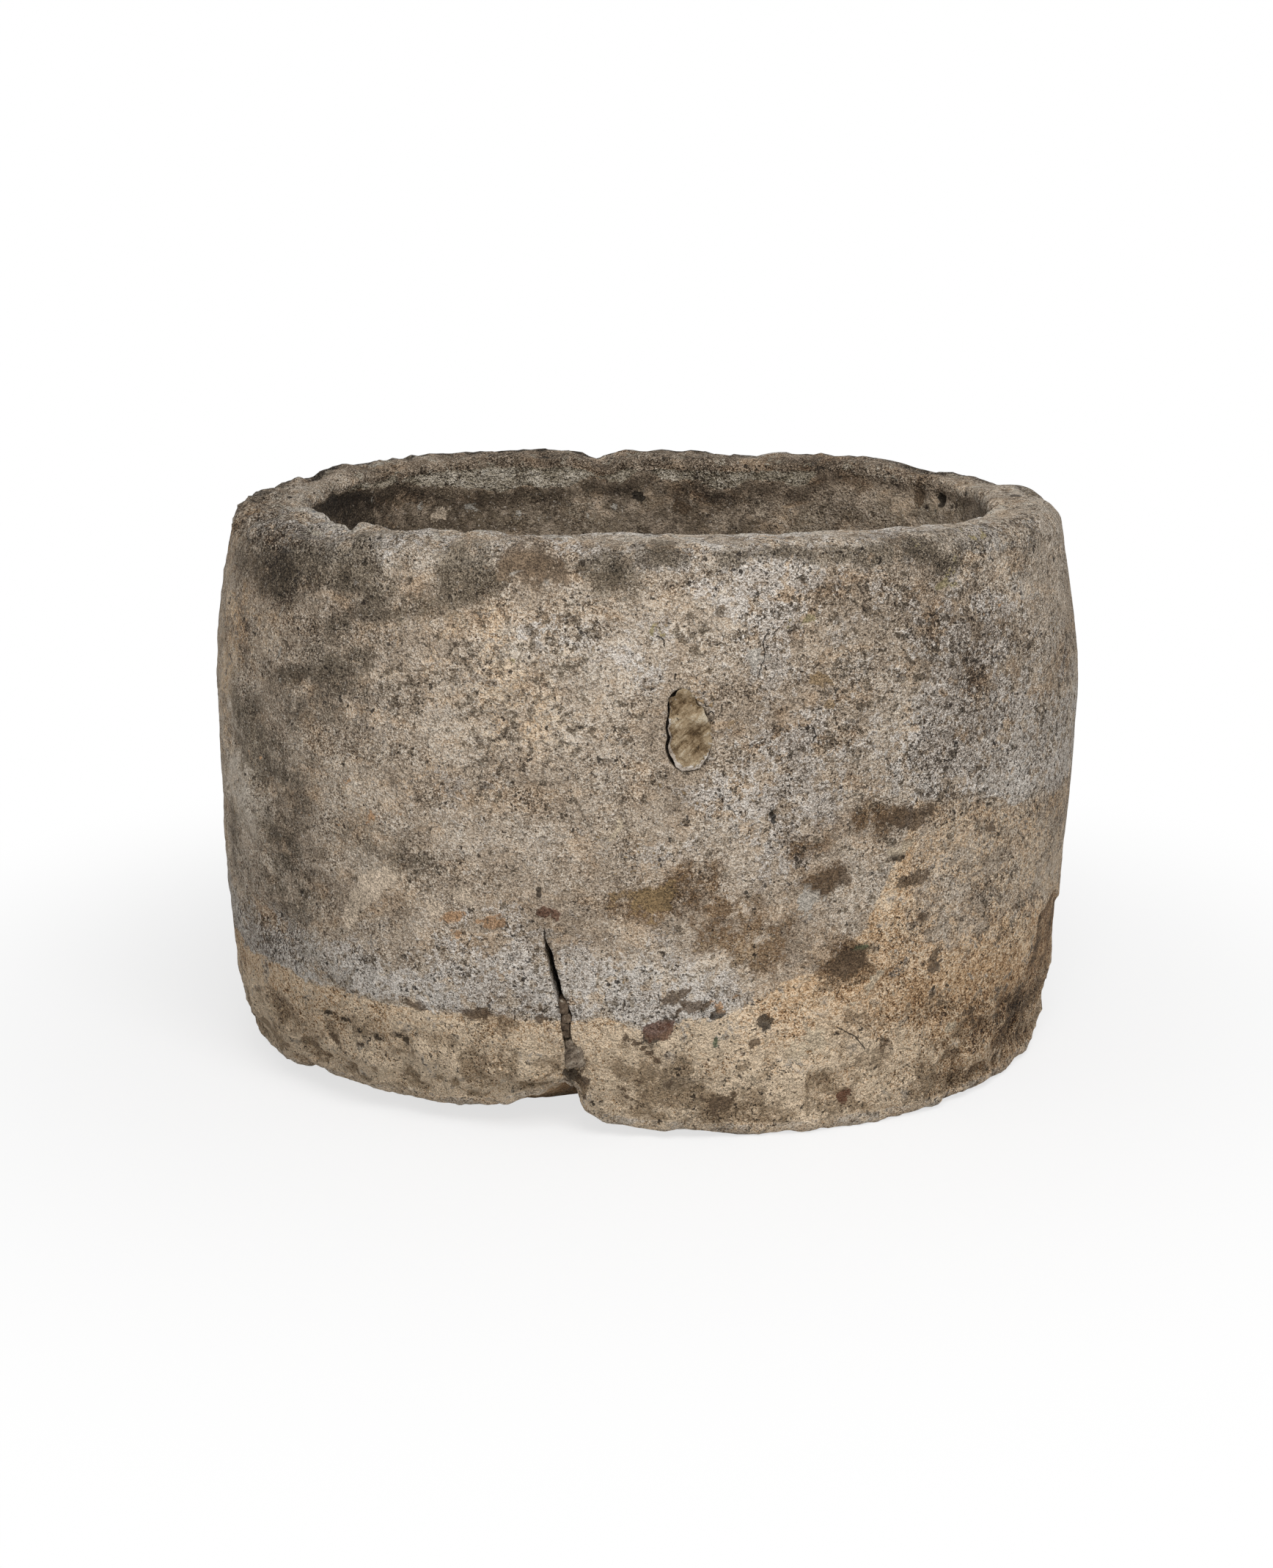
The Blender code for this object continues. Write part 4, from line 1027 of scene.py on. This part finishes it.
# The stains lie on places that noise has bent, so that their edges wander
bend_round, bend_up = fractal(points, 0.045, 4, 311), fractal(points, 0.045, 4, 331)
way = girth + 0.011 * bend_round
height = level + 0.009 * bend_up


def stained(table):
    """1 - prod(1 - strength exp(-d^3)) over the rows, on places bent by noise."""
    clear = np.ones_like(girth)
    for row, share in ellipses(way, height, table):
        clear = clear * (1.0 - row[5] * share)
    return 1.0 - clear


# Zones of the skin, each from where it starts to where it is full, way round from the front's middle
BACK, RIGHT_SIDE, RIGHT_PART = (0.62, 0.74), (0.28, 0.33), (0.15, 0.30)
BAND_END, FACET_END = (0.06, 0.12), (0.49, 0.53)
BAND_HEIGHT, TIDE_HEIGHT = 0.050, 0.115

back = smooth(np.abs(girth), *BACK)
drift = fractal(points, 0.16, 4, 91)
streak = fractal(points * np.array([1.0, 1.0, 0.35]), 0.08, 4, 97)
fine_drift = fractal(points, 0.030, 3, 191)

shore = np.interp(girth, SHORE[:, 0], SHORE[:, 1])
above = height - shore
right_side = smooth(girth, *RIGHT_SIDE)
band = 1.0 - smooth(girth, *BAND_END)
band = band * (0.85 + 0.25 * fine_drift) * hump(np.clip(above, 0.0, 1.0), BAND_HEIGHT)
tide = right_side * (0.95 + 0.3 * fine_drift) * hump(np.clip(above, 0.0, 1.0), TIDE_HEIGHT)
bare = smooth(-above, -0.004, 0.010)

# The share of each stain: its patches on the front, and on the back a drifting share. The brown also takes
# painted shade in the hollows of the low band.
algae = np.maximum(stained(ALGAE), back * (0.30 + 0.55 * drift + 0.7 * smooth(level, 0.5, 0.62)))
right_part = smooth(girth, *RIGHT_PART) * (1.0 - back)
lichen = np.maximum(stained(LICHEN), 0.30 * band + 0.30 * right_part)
lichen = np.maximum(lichen, back * (0.35 + 0.7 * streak))
bloom = np.maximum(stained(BLOOM) * 0.8, np.maximum(band, tide)) * (1.0 - bare)
bloom = np.maximum(bloom * (1.0 - 0.5 * back), back * (0.25 - 0.7 * drift))
facet_end = facet * smooth(girth, *FACET_END)
brown = np.maximum(stained(BROWN), back * (0.12 + 0.5 * streak))
brown = np.maximum(brown, 0.45 * facet_end * (girth < 0.7))
# Painted shade with brown earth in the hollows between the low band's clods.
hollow_shade_and_earth = low_band * outer * smooth(0.95 - clods, 0.0, 0.4)
# Browner and darker towards the bottom of the outside, over its lowest five centimetres.
foot = smooth(0.050 - level, 0.0, 0.035) * (0.40 + 0.8 * fine_drift) * outer
brown = np.maximum(np.maximum(brown, 0.62 * hollow_shade_and_earth), foot)
sand = np.maximum(bare * (1.0 - 0.6 * right_side * smooth(level, 0.13, 0.24)), 0.05 - 0.4 * drift)

# Inside the basin: a pale crust above its ragged edge on the far wall, darker below, darkest at the left
crust_edge = np.interp(block_x, CRUST[:, 0], CRUST[:, 1])
far_wall = on_inside * smooth(block_y, 0.02, 0.10)
over_crust = level + 0.004 * bend_up - crust_edge
crust = far_wall * smooth(over_crust, -0.002, 0.002)
crust = np.maximum(crust * (1.0 - smooth(block_x, 0.20, 0.26)), 0.35 * on_rim * smooth(across, 1.0, 1.1))
left_pool = on_inside * hump(block_x + 0.38, 0.075) * (1.0 - crust)
inside_dark = on_inside * (0.72 + 0.25 * drift) * (1.0 - crust)
# Painted light and shade: lighter on the front's foot below the shore, as light falls there, and darker in
# the hollows of the small relief and in the pits, as shade.
lit_foot = outer * (1.0 - back) * smooth(shore - level, 0.0, 0.02) * (1.0 - smooth(girth, 0.2, 0.3))
painted_light_and_shade = 0.5 - 0.35 * lit_foot - np.minimum(craggy, 0.8) * (0.5 * small + 0.6 * tiny) + 0.9 * pits

# How much lighter or darker each place is than its shade: the stone's tone, with painted light on the low
# band and painted shade in its hollows and under the crust
tone = sum(row[5] * share for row, share in ellipses(way, height, TONES, 2.0)) * outer
rim_edge = hump(across - 1.97, 0.10) * smooth(-block_y, 0.0, 0.1)
# Painted shadow with dark soot: a darker band just under the lower edge of the crust.
crust_shadow_and_soot = far_wall * hump(over_crust + 0.012, 0.012)
tide_edge = right_side * outer * (hump(above - 0.010, 0.012) - 0.8 * hump(above + 0.018, 0.016))
rim_tone = 0.10 + 0.22 * rim_edge - 0.36 * smooth(block_y, 0.1, 0.2) - 0.16 * smooth(-block_x, 0.36, 0.42)
# The painted shadow under the crust darkens the tone here.
tone = tone + on_rim * rim_tone - 0.30 * crust_shadow_and_soot + 0.09 * tide_edge
# Painted light: the low band lighter, as light on the foot. Painted shade: its hollows darker, over their
# brown earth.
tone = tone - 0.14 * hollow_shade_and_earth + outer * (0.40 * low_band + 0.07 * right_part + 0.12 * band)
tone = tone - 0.24 * left_pool - 0.04 * facet - 0.12 * facet_end


def all_marks():
    """Each mark's strength at every point, strength exp(-d^2) or exp(-d^2.4), and its colour."""
    mark_way = girth + 0.0055 * fractal(points, 0.020, 3, 411)
    mark_height = level + 0.0050 * fractal(points, 0.020, 3, 431)
    for color, rows in MARKS.items():
        for row, share in ellipses(mark_way, mark_height, rows, 2.0):
            yield share * outer * row[5], color
    for color, rows in RIM_MARKS.items():
        for *place, strength in rows:
            yield np.exp(-(spreads_away(*place) ** 1.2)) * (1.0 - outer) * strength, color
    # Painted shade: the crack's void and the gap round the plug, black.
    yield np.clip(crack_depth / 0.03, 0.0, 1.0) * 1.6, VOID_SHADE
    yield smooth(hole_depth, 0.0010, 0.0050) * 1.5, VOID_SHADE


# Each point takes the colour of the mark that is strongest there.
mark_strength = np.zeros_like(girth)
mark_color = np.full((*girth.shape, 4), 0.2)
for strength, color in all_marks():
    mark_color = np.where((strength > mark_strength)[..., None], np.array(linear(color)), mark_color)
    mark_strength = np.maximum(mark_strength, strength)

# Hairline cracks of the front: x and z of each one's corners
HAIRLINES = (
    (
        (0.1257, 0.5647), (0.1212, 0.5626), (0.1174, 0.553), (0.1198, 0.5386), (0.1153, 0.5266),
        (0.1124, 0.5176),
    ),
    ((0.06, 0.479), (0.064, 0.483), (0.07, 0.477)), ((0.0608, 0.4806), (0.0585, 0.4891), (0.0539, 0.4946)),
    ((0.0623, 0.4797), (0.0654, 0.4712)), ((0.0699, 0.4779), (0.0737, 0.4824), (0.0759, 0.4916)),
    ((-0.1095, 0.2406), (-0.1117, 0.248), (-0.1093, 0.253)), ((0.0258, 0.5106), (0.0265, 0.5257)),
    (
        (-0.0002, 0.5568), (0.0034, 0.561), (0.009, 0.5619), (0.0139, 0.559), (0.0159, 0.5537),
        (0.0139, 0.5485), (0.009, 0.5457), (0.0034, 0.5468),
    ),
    ((0.1701, 0.4621), (0.1742, 0.4515), (0.1689, 0.4424)),
    ((0.2028, 0.1221), (0.2236, 0.109), (0.2348, 0.092)),
)


FRONT_FROM = -0.15


def line_field(corners):
    """The signed distance to a line through the corners, and 1 beside it falling to 0 past its ends.

    The nearest place on a side is start + clip(offset . run / |run|^2, 0, 1) run.
    """
    best = np.full_like(girth, 1.0)
    signed = best.copy()
    place = np.stack([block_x, level], axis=-1)
    for start, end in zip(corners, corners[1:]):
        run, offset = np.subtract(end, start), place - np.array(start)
        share = np.clip(offset @ run / (run @ run), 0.0, 1.0)
        gap = np.linalg.norm(offset - share[..., None] * run, axis=-1)
        side = np.where(run[0] * offset[..., 1] > run[1] * offset[..., 0], 1.0, -1.0)
        signed = np.where(gap < best, gap * side, signed)
        best = np.minimum(best, gap)
    between = np.ones_like(girth)
    for end, before in ((corners[0], corners[1]), (corners[-1], corners[-2])):
        onwards = np.subtract(end, before)
        past = (place - np.array(end)) @ onwards / np.linalg.norm(onwards)
        between = np.minimum(between, 1.0 - smooth(past, -0.001, 0.002))
    return signed, (1.0 - smooth(best, 0.005, 0.008)) * between * (block_y < FRONT_FROM) * outer


line_gap, line_near = np.full_like(girth, 1.0), np.zeros_like(girth)
for corners in HAIRLINES:
    signed, near = line_field(corners)
    line_gap = np.where(near > line_near, signed, line_gap)
    line_near = np.maximum(line_near, near)

# How lively the grain and the bump are
rough = 1.0 + outer * (0.8 * low_band + 0.8 * band + 0.4 * right_part + 0.25 * smooth(-girth, 0.25, 0.35))
rough = rough + on_rim * (0.3 + 0.7 * left_end) - 0.5 * far_wall * (1.0 - crust)
front_rim = on_rim * smooth(-block_y, 0.1, 0.2) * (0.35 + 0.25 * rim_edge + 0.6 * fine_drift)

for name, values in (
    ("line_near", line_near),
    ("algae", np.maximum(algae * outer, 0.9 * left_pool)),
    ("lichen", lichen * outer),
    ("bloom", np.maximum(bloom * outer, front_rim)),
    ("brown", brown * outer),
    ("sand", np.maximum(sand * outer, on_underside)),
    ("crust", crust),
    ("inside", inside_dark),
    ("painted_light_and_shade", painted_light_and_shade),
    ("mark", 1.3 * mark_strength),
    ("tone", 0.5 + tone),
):
    give_values(block_mesh, name, np.clip(values, 0.0, 1.0))
give_values(block_mesh, "line_gap", line_gap)
give_values(block_mesh, "rough", rough)
give_colors(block_mesh, "mark_color", mark_color)

# Colours of the stone and of what covers it, from the deepest pit to the palest grain
STONE = ((54, 43, 34), (106, 91, 75), (156, 139, 120), (187, 170, 150), (218, 206, 190))
LIME = ((52, 45, 38), (110, 98, 86), (161, 148, 134), (196, 184, 171), (230, 222, 212))
SAND = ((52, 35, 22), (114, 82, 54), (179, 145, 108), (216, 184, 148), (240, 217, 187))
BARK = ((30, 21, 14), (66, 50, 35), (102, 80, 58), (136, 110, 83), (178, 154, 125))
SOOT = ((22, 19, 15), (50, 44, 35), (86, 76, 63), (120, 107, 90), (166, 152, 133))
FLAKE = ((34, 28, 22), (60, 51, 41), (88, 76, 62), (120, 106, 88), (160, 146, 127))
CRUST_GREY = ((40, 33, 25), (80, 70, 56), (136, 125, 107), (172, 161, 143), (210, 200, 184))
SPECK_AND_PIT_SHADE, PORE_SHADE, HAIRLINE = linear((44, 36, 28)), linear((36, 28, 22)), linear((30, 24, 19))
VEIN = linear((60, 45, 31))


def add_skin(graph, color, height, rise, roughness, specular):
    """The surface of a dull piece: its colour, and its height times rise as bump."""
    bump = graph.node("ShaderNodeBump", {"Strength": 1.0, "Distance": rise, "Height": height})
    inputs = {"Base Color": color, "Roughness": roughness, "Specular IOR Level": specular}
    skin = graph.node("ShaderNodeBsdfPrincipled", {**inputs, "Normal": bump.outputs[0]})
    graph.node("ShaderNodeOutputMaterial", {"Surface": skin.outputs[0]})


def stone_material(name):
    """Weathered limestone. Each stain's stored share plus noise passes a threshold, so its edge breaks up."""
    material, graph, place = new_material(name)
    centred = graph.centred
    large = graph.noise(place, 9.0, 3.0, 0.6)
    patch = graph.noise(place, 26.0, 6.0, 0.62, 0.3)
    lace = graph.noise(place, 46.0, 5.0, 0.62, 0.4)
    fine = graph.noise(place, 150.0, 2.0, 0.65)
    grain = graph.noise(place, 420.0, 1.0, 0.6)
    grit = graph.noise(place, 850.0, 0.0)
    scab = graph.ramp(lace, 0.50, 0.53)
    cluster = graph.noise(graph.stretched(place, (1.0, 1.0, 1.4)), 16.0, 4.0, 0.6, 0.3)
    cluster = graph.ramp(cluster, 0.44, 0.62)
    roughness = graph.attribute("rough")
    blooming = graph.attribute("bloom")

    # The shade of the bare stone, more lively where it is rough and in clusters
    lively = graph.add(graph.weighted((cluster, 0.5), (roughness, 0.55)), 0.20)
    busy = graph.add(centred(patch, 0.30), centred(fine, 0.65), centred(grain, 1.2), centred(grit, 0.9))
    value = graph.add(0.675, centred(large, 0.8), centred(patch, 0.22), graph.times(busy, lively))
    # Painted light and shade from the stored relief: darker in hollows and pits, lighter on the lit foot.
    value = graph.add(value, graph.times(scab, -0.035), centred(graph.attribute("painted_light_and_shade"), -0.28))
    value = graph.add(value, centred(graph.attribute("tone"), 1.0))
    warm = graph.noise(graph.stretched(place, (1.0, 1.0, 1.8)), 19.0, 4.0, 0.6, 0.5)
    warm = graph.ramp(warm, 0.48, 0.66, 0.0, 0.34)
    color = graph.mix(warm, graph.palette(value, STONE), graph.palette(value, SAND))

    # What covers the stone, one coat over the other: how far noise breaks the stain's edge, half the width of
    # that edge, the most that it covers, its shade and its colours
    ragged = graph.add(centred(patch, 1.0), centred(lace, 1.3), centred(fine, 0.8))
    clod = graph.add(value, centred(fine, 0.6), centred(lace, 0.8), centred(patch, 0.7), 0.05)
    lime = graph.add(value, centred(fine, 0.35), centred(grit, 0.5), 0.06)
    inner = graph.add(value, centred(lace, 0.9), centred(large, 0.8), -0.06)
    flaky = graph.add(value, centred(lace, 1.0), centred(patch, 0.6), 0.03)
    coats = {
        "sand": (1.2, 0.22, 1.0, clod, SAND),
        "bloom": (2.2, 0.16, 1.0, lime, LIME),
        "brown": (1.5, 0.30, 1.0, graph.add(value, -0.05), BARK),
        "algae": (1.3, 0.38, 0.92, graph.add(value, -0.06), SOOT),
        "inside": (1.2, 0.45, 1.0, inner, FLAKE),
        "crust": (0.9, 0.05, 1.0, flaky, CRUST_GREY),
    }
    cover = {}
    for stain, (gain, width, most, shade, colors) in coats.items():
        share = graph.add(graph.attribute(stain), graph.times(ragged, gain))
        cover[stain] = graph.ramp(share, 0.5 - width, 0.5 + width, 0.0, most)
        color = graph.mix(cover[stain], color, graph.palette(shade, colors))

    # Grey flakes of lichen, dark specks that are partly painted shade in small pits, fine veins and pale
    # glints
    crowd = graph.weighted((graph.attribute("lichen"), 0.105), (cluster, 0.03))
    flake = graph.add(graph.noise(place, 95.0, 4.0, 0.6, 0.4), graph.math("MINIMUM", crowd, 0.14))
    flake = graph.ramp(flake, 0.640, 0.648)
    most = graph.times(flake, graph.add(0.8, graph.times(cover["sand"], -0.65)))
    color = graph.mix(most, color, graph.palette(graph.add(value, -0.10), FLAKE))
    crowd = graph.add(graph.weighted((cluster, 0.040), (blooming, 0.045), (roughness, 0.010)), 0.002)
    # Painted shade: dark specks in small pits, with some dark grains.
    speck_and_pit_shade = graph.ramp(graph.math("SUBTRACT", graph.noise(place, 290.0, 2.0, 0.6), crowd), 0.325, 0.300)
    color = graph.mix(graph.times(speck_and_pit_shade, 0.85), color, SPECK_AND_PIT_SHADE)
    vein = graph.add(graph.math("ABSOLUTE", graph.add(lace, -0.5)), graph.times(cluster, -0.006), -0.004)
    vein = graph.ramp(vein, -0.003, 0.003, 1.0, 0.0)
    color = graph.mix(graph.times(vein, 0.45), color, VEIN)
    glint = graph.ramp(graph.noise(place, 250.0, 3.0, 0.7, 0.5), 0.62, 0.66)
    most = graph.times(glint, graph.add(0.5, graph.times(cover["sand"], -0.35)))
    color = graph.mix(most, color, graph.palette(graph.add(value, 0.25), LIME))

    # Hairline cracks along the stored lines, and round pores painted dark as their shade
    wobble = centred(graph.noise(place, 260.0, 3.0, 0.65), 0.0040)
    hairline = graph.math("ABSOLUTE", graph.add(graph.attribute("line_gap"), wobble))
    hairline = graph.times(graph.ramp(hairline, 0.0003, 0.0009, 1.0, 0.0), graph.attribute("line_near"))
    color = graph.mix(graph.times(hairline, 0.9), color, HAIRLINE)
    jitter = graph.node("ShaderNodeTexNoise", {"Vector": place, "Scale": 180.0, "Detail": 2.0})
    pore_gap, pore_color = graph.cells(graph.mix(0.012, place, jitter.outputs["Color"], "ADD"), 110.0)
    pore_size = graph.node("ShaderNodeSeparateColor", {"Color": pore_color}).outputs[0]
    pore_size = graph.ramp(graph.add(pore_size, graph.times(blooming, 0.16)), 0.7, 1.0)
    pore_size = graph.times(pore_size, graph.ramp(patch, 0.4, 0.6, 0.08, 0.30))
    # Painted shade in the pores.
    pore_shade = graph.ramp(graph.math("SUBTRACT", pore_gap, pore_size), -0.02, 0.03, 1.0, 0.0)
    color = graph.mix(graph.times(pore_shade, 0.85), color, PORE_SHADE)

    # The single marks, in their stored colours, shaded as the stone under them
    mark = graph.ramp(graph.add(graph.attribute("mark"), graph.times(ragged, 1.5)), 0.42, 0.62, 0.0, 0.84)
    shade = graph.ramp(value, 0.2, 1.1, 0.50, 1.45)
    shade = graph.node("ShaderNodeCombineXYZ", {0: shade, 1: shade, 2: shade}).outputs[0]
    color = graph.mix(mark, color, graph.mix(1.0, graph.paint("mark_color"), shade, "MULTIPLY"))

    layers = ((patch, 0.0060), (fine, 0.0090), (grain, 0.0050), (pore_shade, -0.0020), (flake, 0.0006))
    cuts = ((hairline, -0.0020), (scab, -0.0005), (speck_and_pit_shade, -0.0010), (vein, -0.0010))
    add_skin(graph, color, graph.weighted(*layers, *cuts), roughness, 0.92, 0.2)
    return material


limestone = stone_material("limestone_skin")
add_piece("trough_block", block_mesh, limestone, "limestone", "stone_trough")

# The plug. Lime mortar pressed into an old hole through the front wall and smoothed off with a finger, now
# shrunk away from the stone along its left side and its foot, with a crust of lime along its lower edge.
PLUG_BACK = 0.009
PLUG_TURNS = 96
PLUG_FACE_RINGS = 22
PLUG_WIDEST_GAP = 0.17
PLUG_SWELL, PLUG_STROKES, PLUG_SUNK = 0.0032, 0.0014, 0.0012

# Rings of the plug's back and side: share of the outline's radius, share of the depth
PLUG_SIDE = (
    (0.03, 1.0), (0.5, 1.0), (0.9, 1.0), (0.93, 0.75), (0.96, 0.5), (0.985, 0.25), (1.0, 0.1), (1.0, 0.0),
)

# The gap round the plug: direction in degrees, share of the radius
PLUG_GAPS = np.array([
    (-180, 0.13), (-165, 0.15), (-150, 0.07), (-135, 0.12), (-120, 0.03), (-90, 0.04), (-60, 0.05),
    (-40, 0.13), (-20, 0.04), (-10, 0.01), (10, 0.02), (30, 0.08), (50, 0.03), (90, 0.01), (110, 0.03),
    (125, 0.09), (135, 0.04), (150, 0.1), (160, 0.05), (170, 0.13), (180, 0.12),
])


def plug_grid():
    """Rings in the hole's outline from the middle of the back, round the side, to the middle of the face.

    A point at the share s of the outline R(t) lies on the wall at s R cos t and s R sin t, then inwards.
    """
    turn = np.linspace(-math.pi, math.pi, PLUG_TURNS + 1)[:-1]
    gap = np.interp(np.degrees(turn), PLUG_GAPS[:, 0], PLUG_GAPS[:, 1])
    gap = gap + 0.045 * fractal(np.stack([np.cos(turn), np.sin(turn), 0.0 * turn], axis=-1), 0.22, 3, 701)
    edge = 1.0 - np.clip(gap, 0.006, PLUG_WIDEST_GAP)
    face_rings = [(share, 0.0) for share in np.linspace(0.97, 0.03, PLUG_FACE_RINGS)]
    shares, depths = np.array([*PLUG_SIDE, *face_rings]).T[..., None] * np.ones(PLUG_TURNS)
    radius = shares * edge * plug_reach(turn)
    bearing = PLUG_BEARING + radius * np.cos(turn) * PLUG_SPREAD
    height = PLUG_Z + radius * np.sin(turn) * PLUG_HEIGHT / 2
    return outside(height, bearing), depths * PLUG_BACK, shares, turn


plug_points, plug_depth, plug_share, plug_turn = plug_grid()
plug_out = np.array([math.cos(math.radians(PLUG_BEARING)), math.sin(math.radians(PLUG_BEARING)), 0.0])
face = (plug_depth == 0.0) * smooth(plug_share, 1.02, 0.90)
finger_lean = np.array([[0.8, 0.0, 0.6], [0.0, 1.0, 0.0], [-0.15, 0.0, 0.2]])
strokes = noise(plug_points @ finger_lean.T, 0.007, 751)
swell = PLUG_SWELL * fractal(plug_points, 0.017, 4, 733) + PLUG_STROKES * strokes - PLUG_SUNK
plug_points = plug_points + plug_out * (face * swell - plug_depth)[..., None]
plug_mesh = closed_mesh("mortar_plug", plug_points)
lower_edge = smooth(plug_share, 0.80, 0.97) * (0.5 - 0.5 * np.sin(plug_turn + 0.5))
give_values(plug_mesh, "lime", lower_edge)
# Painted light and shade of the plug's face: darker where it is sunk, lighter where it swells.
give_values(plug_mesh, "painted_light_and_shade", np.clip(0.35 - 130.0 * swell, 0.0, 1.0))

PIT = linear((40, 32, 24))
MORTAR_TAN = ((48, 35, 22), (100, 80, 55), (147, 126, 97), (175, 155, 126), (208, 194, 170))


def mortar_material(name, stops, lime_stops):
    """Smoothed mortar: streaks down to the left, fine grit, and flakes of lime where its share is high."""
    material, graph, place = new_material(name)
    turned_place = graph.node("ShaderNodeMapping", {"Vector": place, "Rotation": (0.0, 0.7, 0.0)}).outputs[0]
    streaks = graph.noise(graph.stretched(turned_place, (50.0, 50.0, 190.0)), 1.0, 4.0, 0.6, 0.4)
    fine = graph.noise(place, 190.0, 5.0, 0.65)
    grain = graph.noise(place, 700.0, 2.0, 0.7)
    value = graph.add(0.56, graph.centred(streaks, 1.5), graph.centred(fine, 1.0), graph.centred(grain, 0.8))
    # Painted light and shade: the stored value darkens hollows and lightens crests.
    value = graph.add(value, graph.centred(graph.attribute("painted_light_and_shade"), -0.6))
    color = graph.palette(value, stops)
    lime = graph.ramp(graph.add(graph.attribute("lime"), graph.centred(fine, 2.4)), 0.45, 0.52)
    color = graph.mix(graph.times(lime, 0.85), color, graph.palette(graph.add(value, 0.12), lime_stops))
    pit = graph.ramp(graph.noise(place, 260.0, 1.0), 0.28, 0.26)
    color = graph.mix(graph.times(pit, 0.8), color, PIT)
    layers = ((streaks, 0.0040), (fine, 0.0060), (lime, 0.0012), (grain, 0.0006), (pit, -0.0010))
    add_skin(graph, color, graph.weighted(*layers), 1.0, 0.88, 0.25)
    return material


plug_mortar = mortar_material("plug_mortar_skin", MORTAR_TAN, LIME)
add_piece("mortar_plug", plug_mesh, plug_mortar, "plug_mortar", "hole_plug")

# The crack's mortar. A lump of grey lime mortar pushed into the foot of the crack by hand, proud of the stone
# on its right, and rough where it broke away below.
LUMP_RINGS, LUMP_TURNS = 22, 36
LUMP_POLE = 0.06
LUMP_SQUARENESS = 0.45


def rough_lump(name, low, high, bulge, seed):
    """A rounded box: f(sin u) f(cos v), f(cos u) and f(sin u) f(sin v) of its half sizes.

    f(c) is |c|^p with the sign of c. Sharp-crested noise then roughens it along the line from its middle.
    """
    low, high = np.array(low), np.array(high)
    fore = np.linspace(LUMP_POLE, math.pi - LUMP_POLE, LUMP_RINGS)[:, None]
    turn = np.linspace(-math.pi, math.pi, LUMP_TURNS + 1)[:-1][None, :]

    def power(value):
        """|value|^p with the value's sign."""
        return np.sign(value) * np.abs(value) ** LUMP_SQUARENESS

    ring = power(np.sin(fore))
    sides = np.broadcast_arrays(ring * power(np.cos(turn)), power(np.cos(fore)), ring * power(np.sin(turn)))
    unit = np.stack(sides, axis=-1)
    shape = (low + high) / 2 + unit * (high - low) / 2
    rough = ridged(shape, 0.011, 3, seed) - 1.0
    shape = shape + unit / np.linalg.norm(unit, axis=-1, keepdims=True) * (bulge * rough)[..., None]
    mesh = closed_mesh(name, shape)
    give_values(mesh, "lime", np.clip(0.15 + 0.2 * rough, 0.0, 1.0))
    # Painted light and shade of the lump: darker in its hollows, lighter on its crests.
    give_values(mesh, "painted_light_and_shade", np.clip(0.4 - 0.4 * rough, 0.0, 1.0))
    return mesh


MORTAR_GREY = ((34, 27, 21), (78, 67, 55), (122, 108, 93), (152, 138, 121), (188, 176, 159))
MORTAR_BOX = ((-0.0925, -0.3605, 0.0840), (-0.0665, -0.3180, 0.1225))
lump = rough_lump("crack_mortar_lump", *MORTAR_BOX, 0.0024, 811)
crack_mortar = mortar_material("crack_mortar_skin", MORTAR_GREY, CRUST_GREY)
add_piece("crack_mortar_lump", lump, crack_mortar, "crack_mortar", "crack_mortar")

# The chips. Four slips of dark stone wedged one above the other in the crack over the mortar, to hold it off
# the void.
CHIP_BROWN = ((22, 17, 12), (48, 38, 30), (78, 64, 51), (106, 90, 74), (144, 127, 108))
CHIP_BOXES = (
    ((-0.0975, -0.362, 0.149), (-0.0862, -0.337, 0.167)),
    ((-0.0948, -0.3612, 0.1395), (-0.0826, -0.3364, 0.1505)),
    ((-0.0968, -0.36, 0.13), (-0.0848, -0.3355, 0.142)),
    ((-0.0936, -0.359, 0.1215), (-0.0836, -0.3347, 0.1325)),
)
chip_stone = mortar_material("chip_stone_skin", CHIP_BROWN, MORTAR_GREY)
for number, (low, high) in enumerate(CHIP_BOXES, start=1):
    chip = rough_lump("chip_%d" % number, low, high, 0.0013, 900 + 7 * number)
    add_piece("chip_%d" % number, chip, chip_stone, "chip_stone", "crack_chip_%d" % number)

both = [[[float(v) for v in corner] for corner in box] for box in (cad_box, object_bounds())]
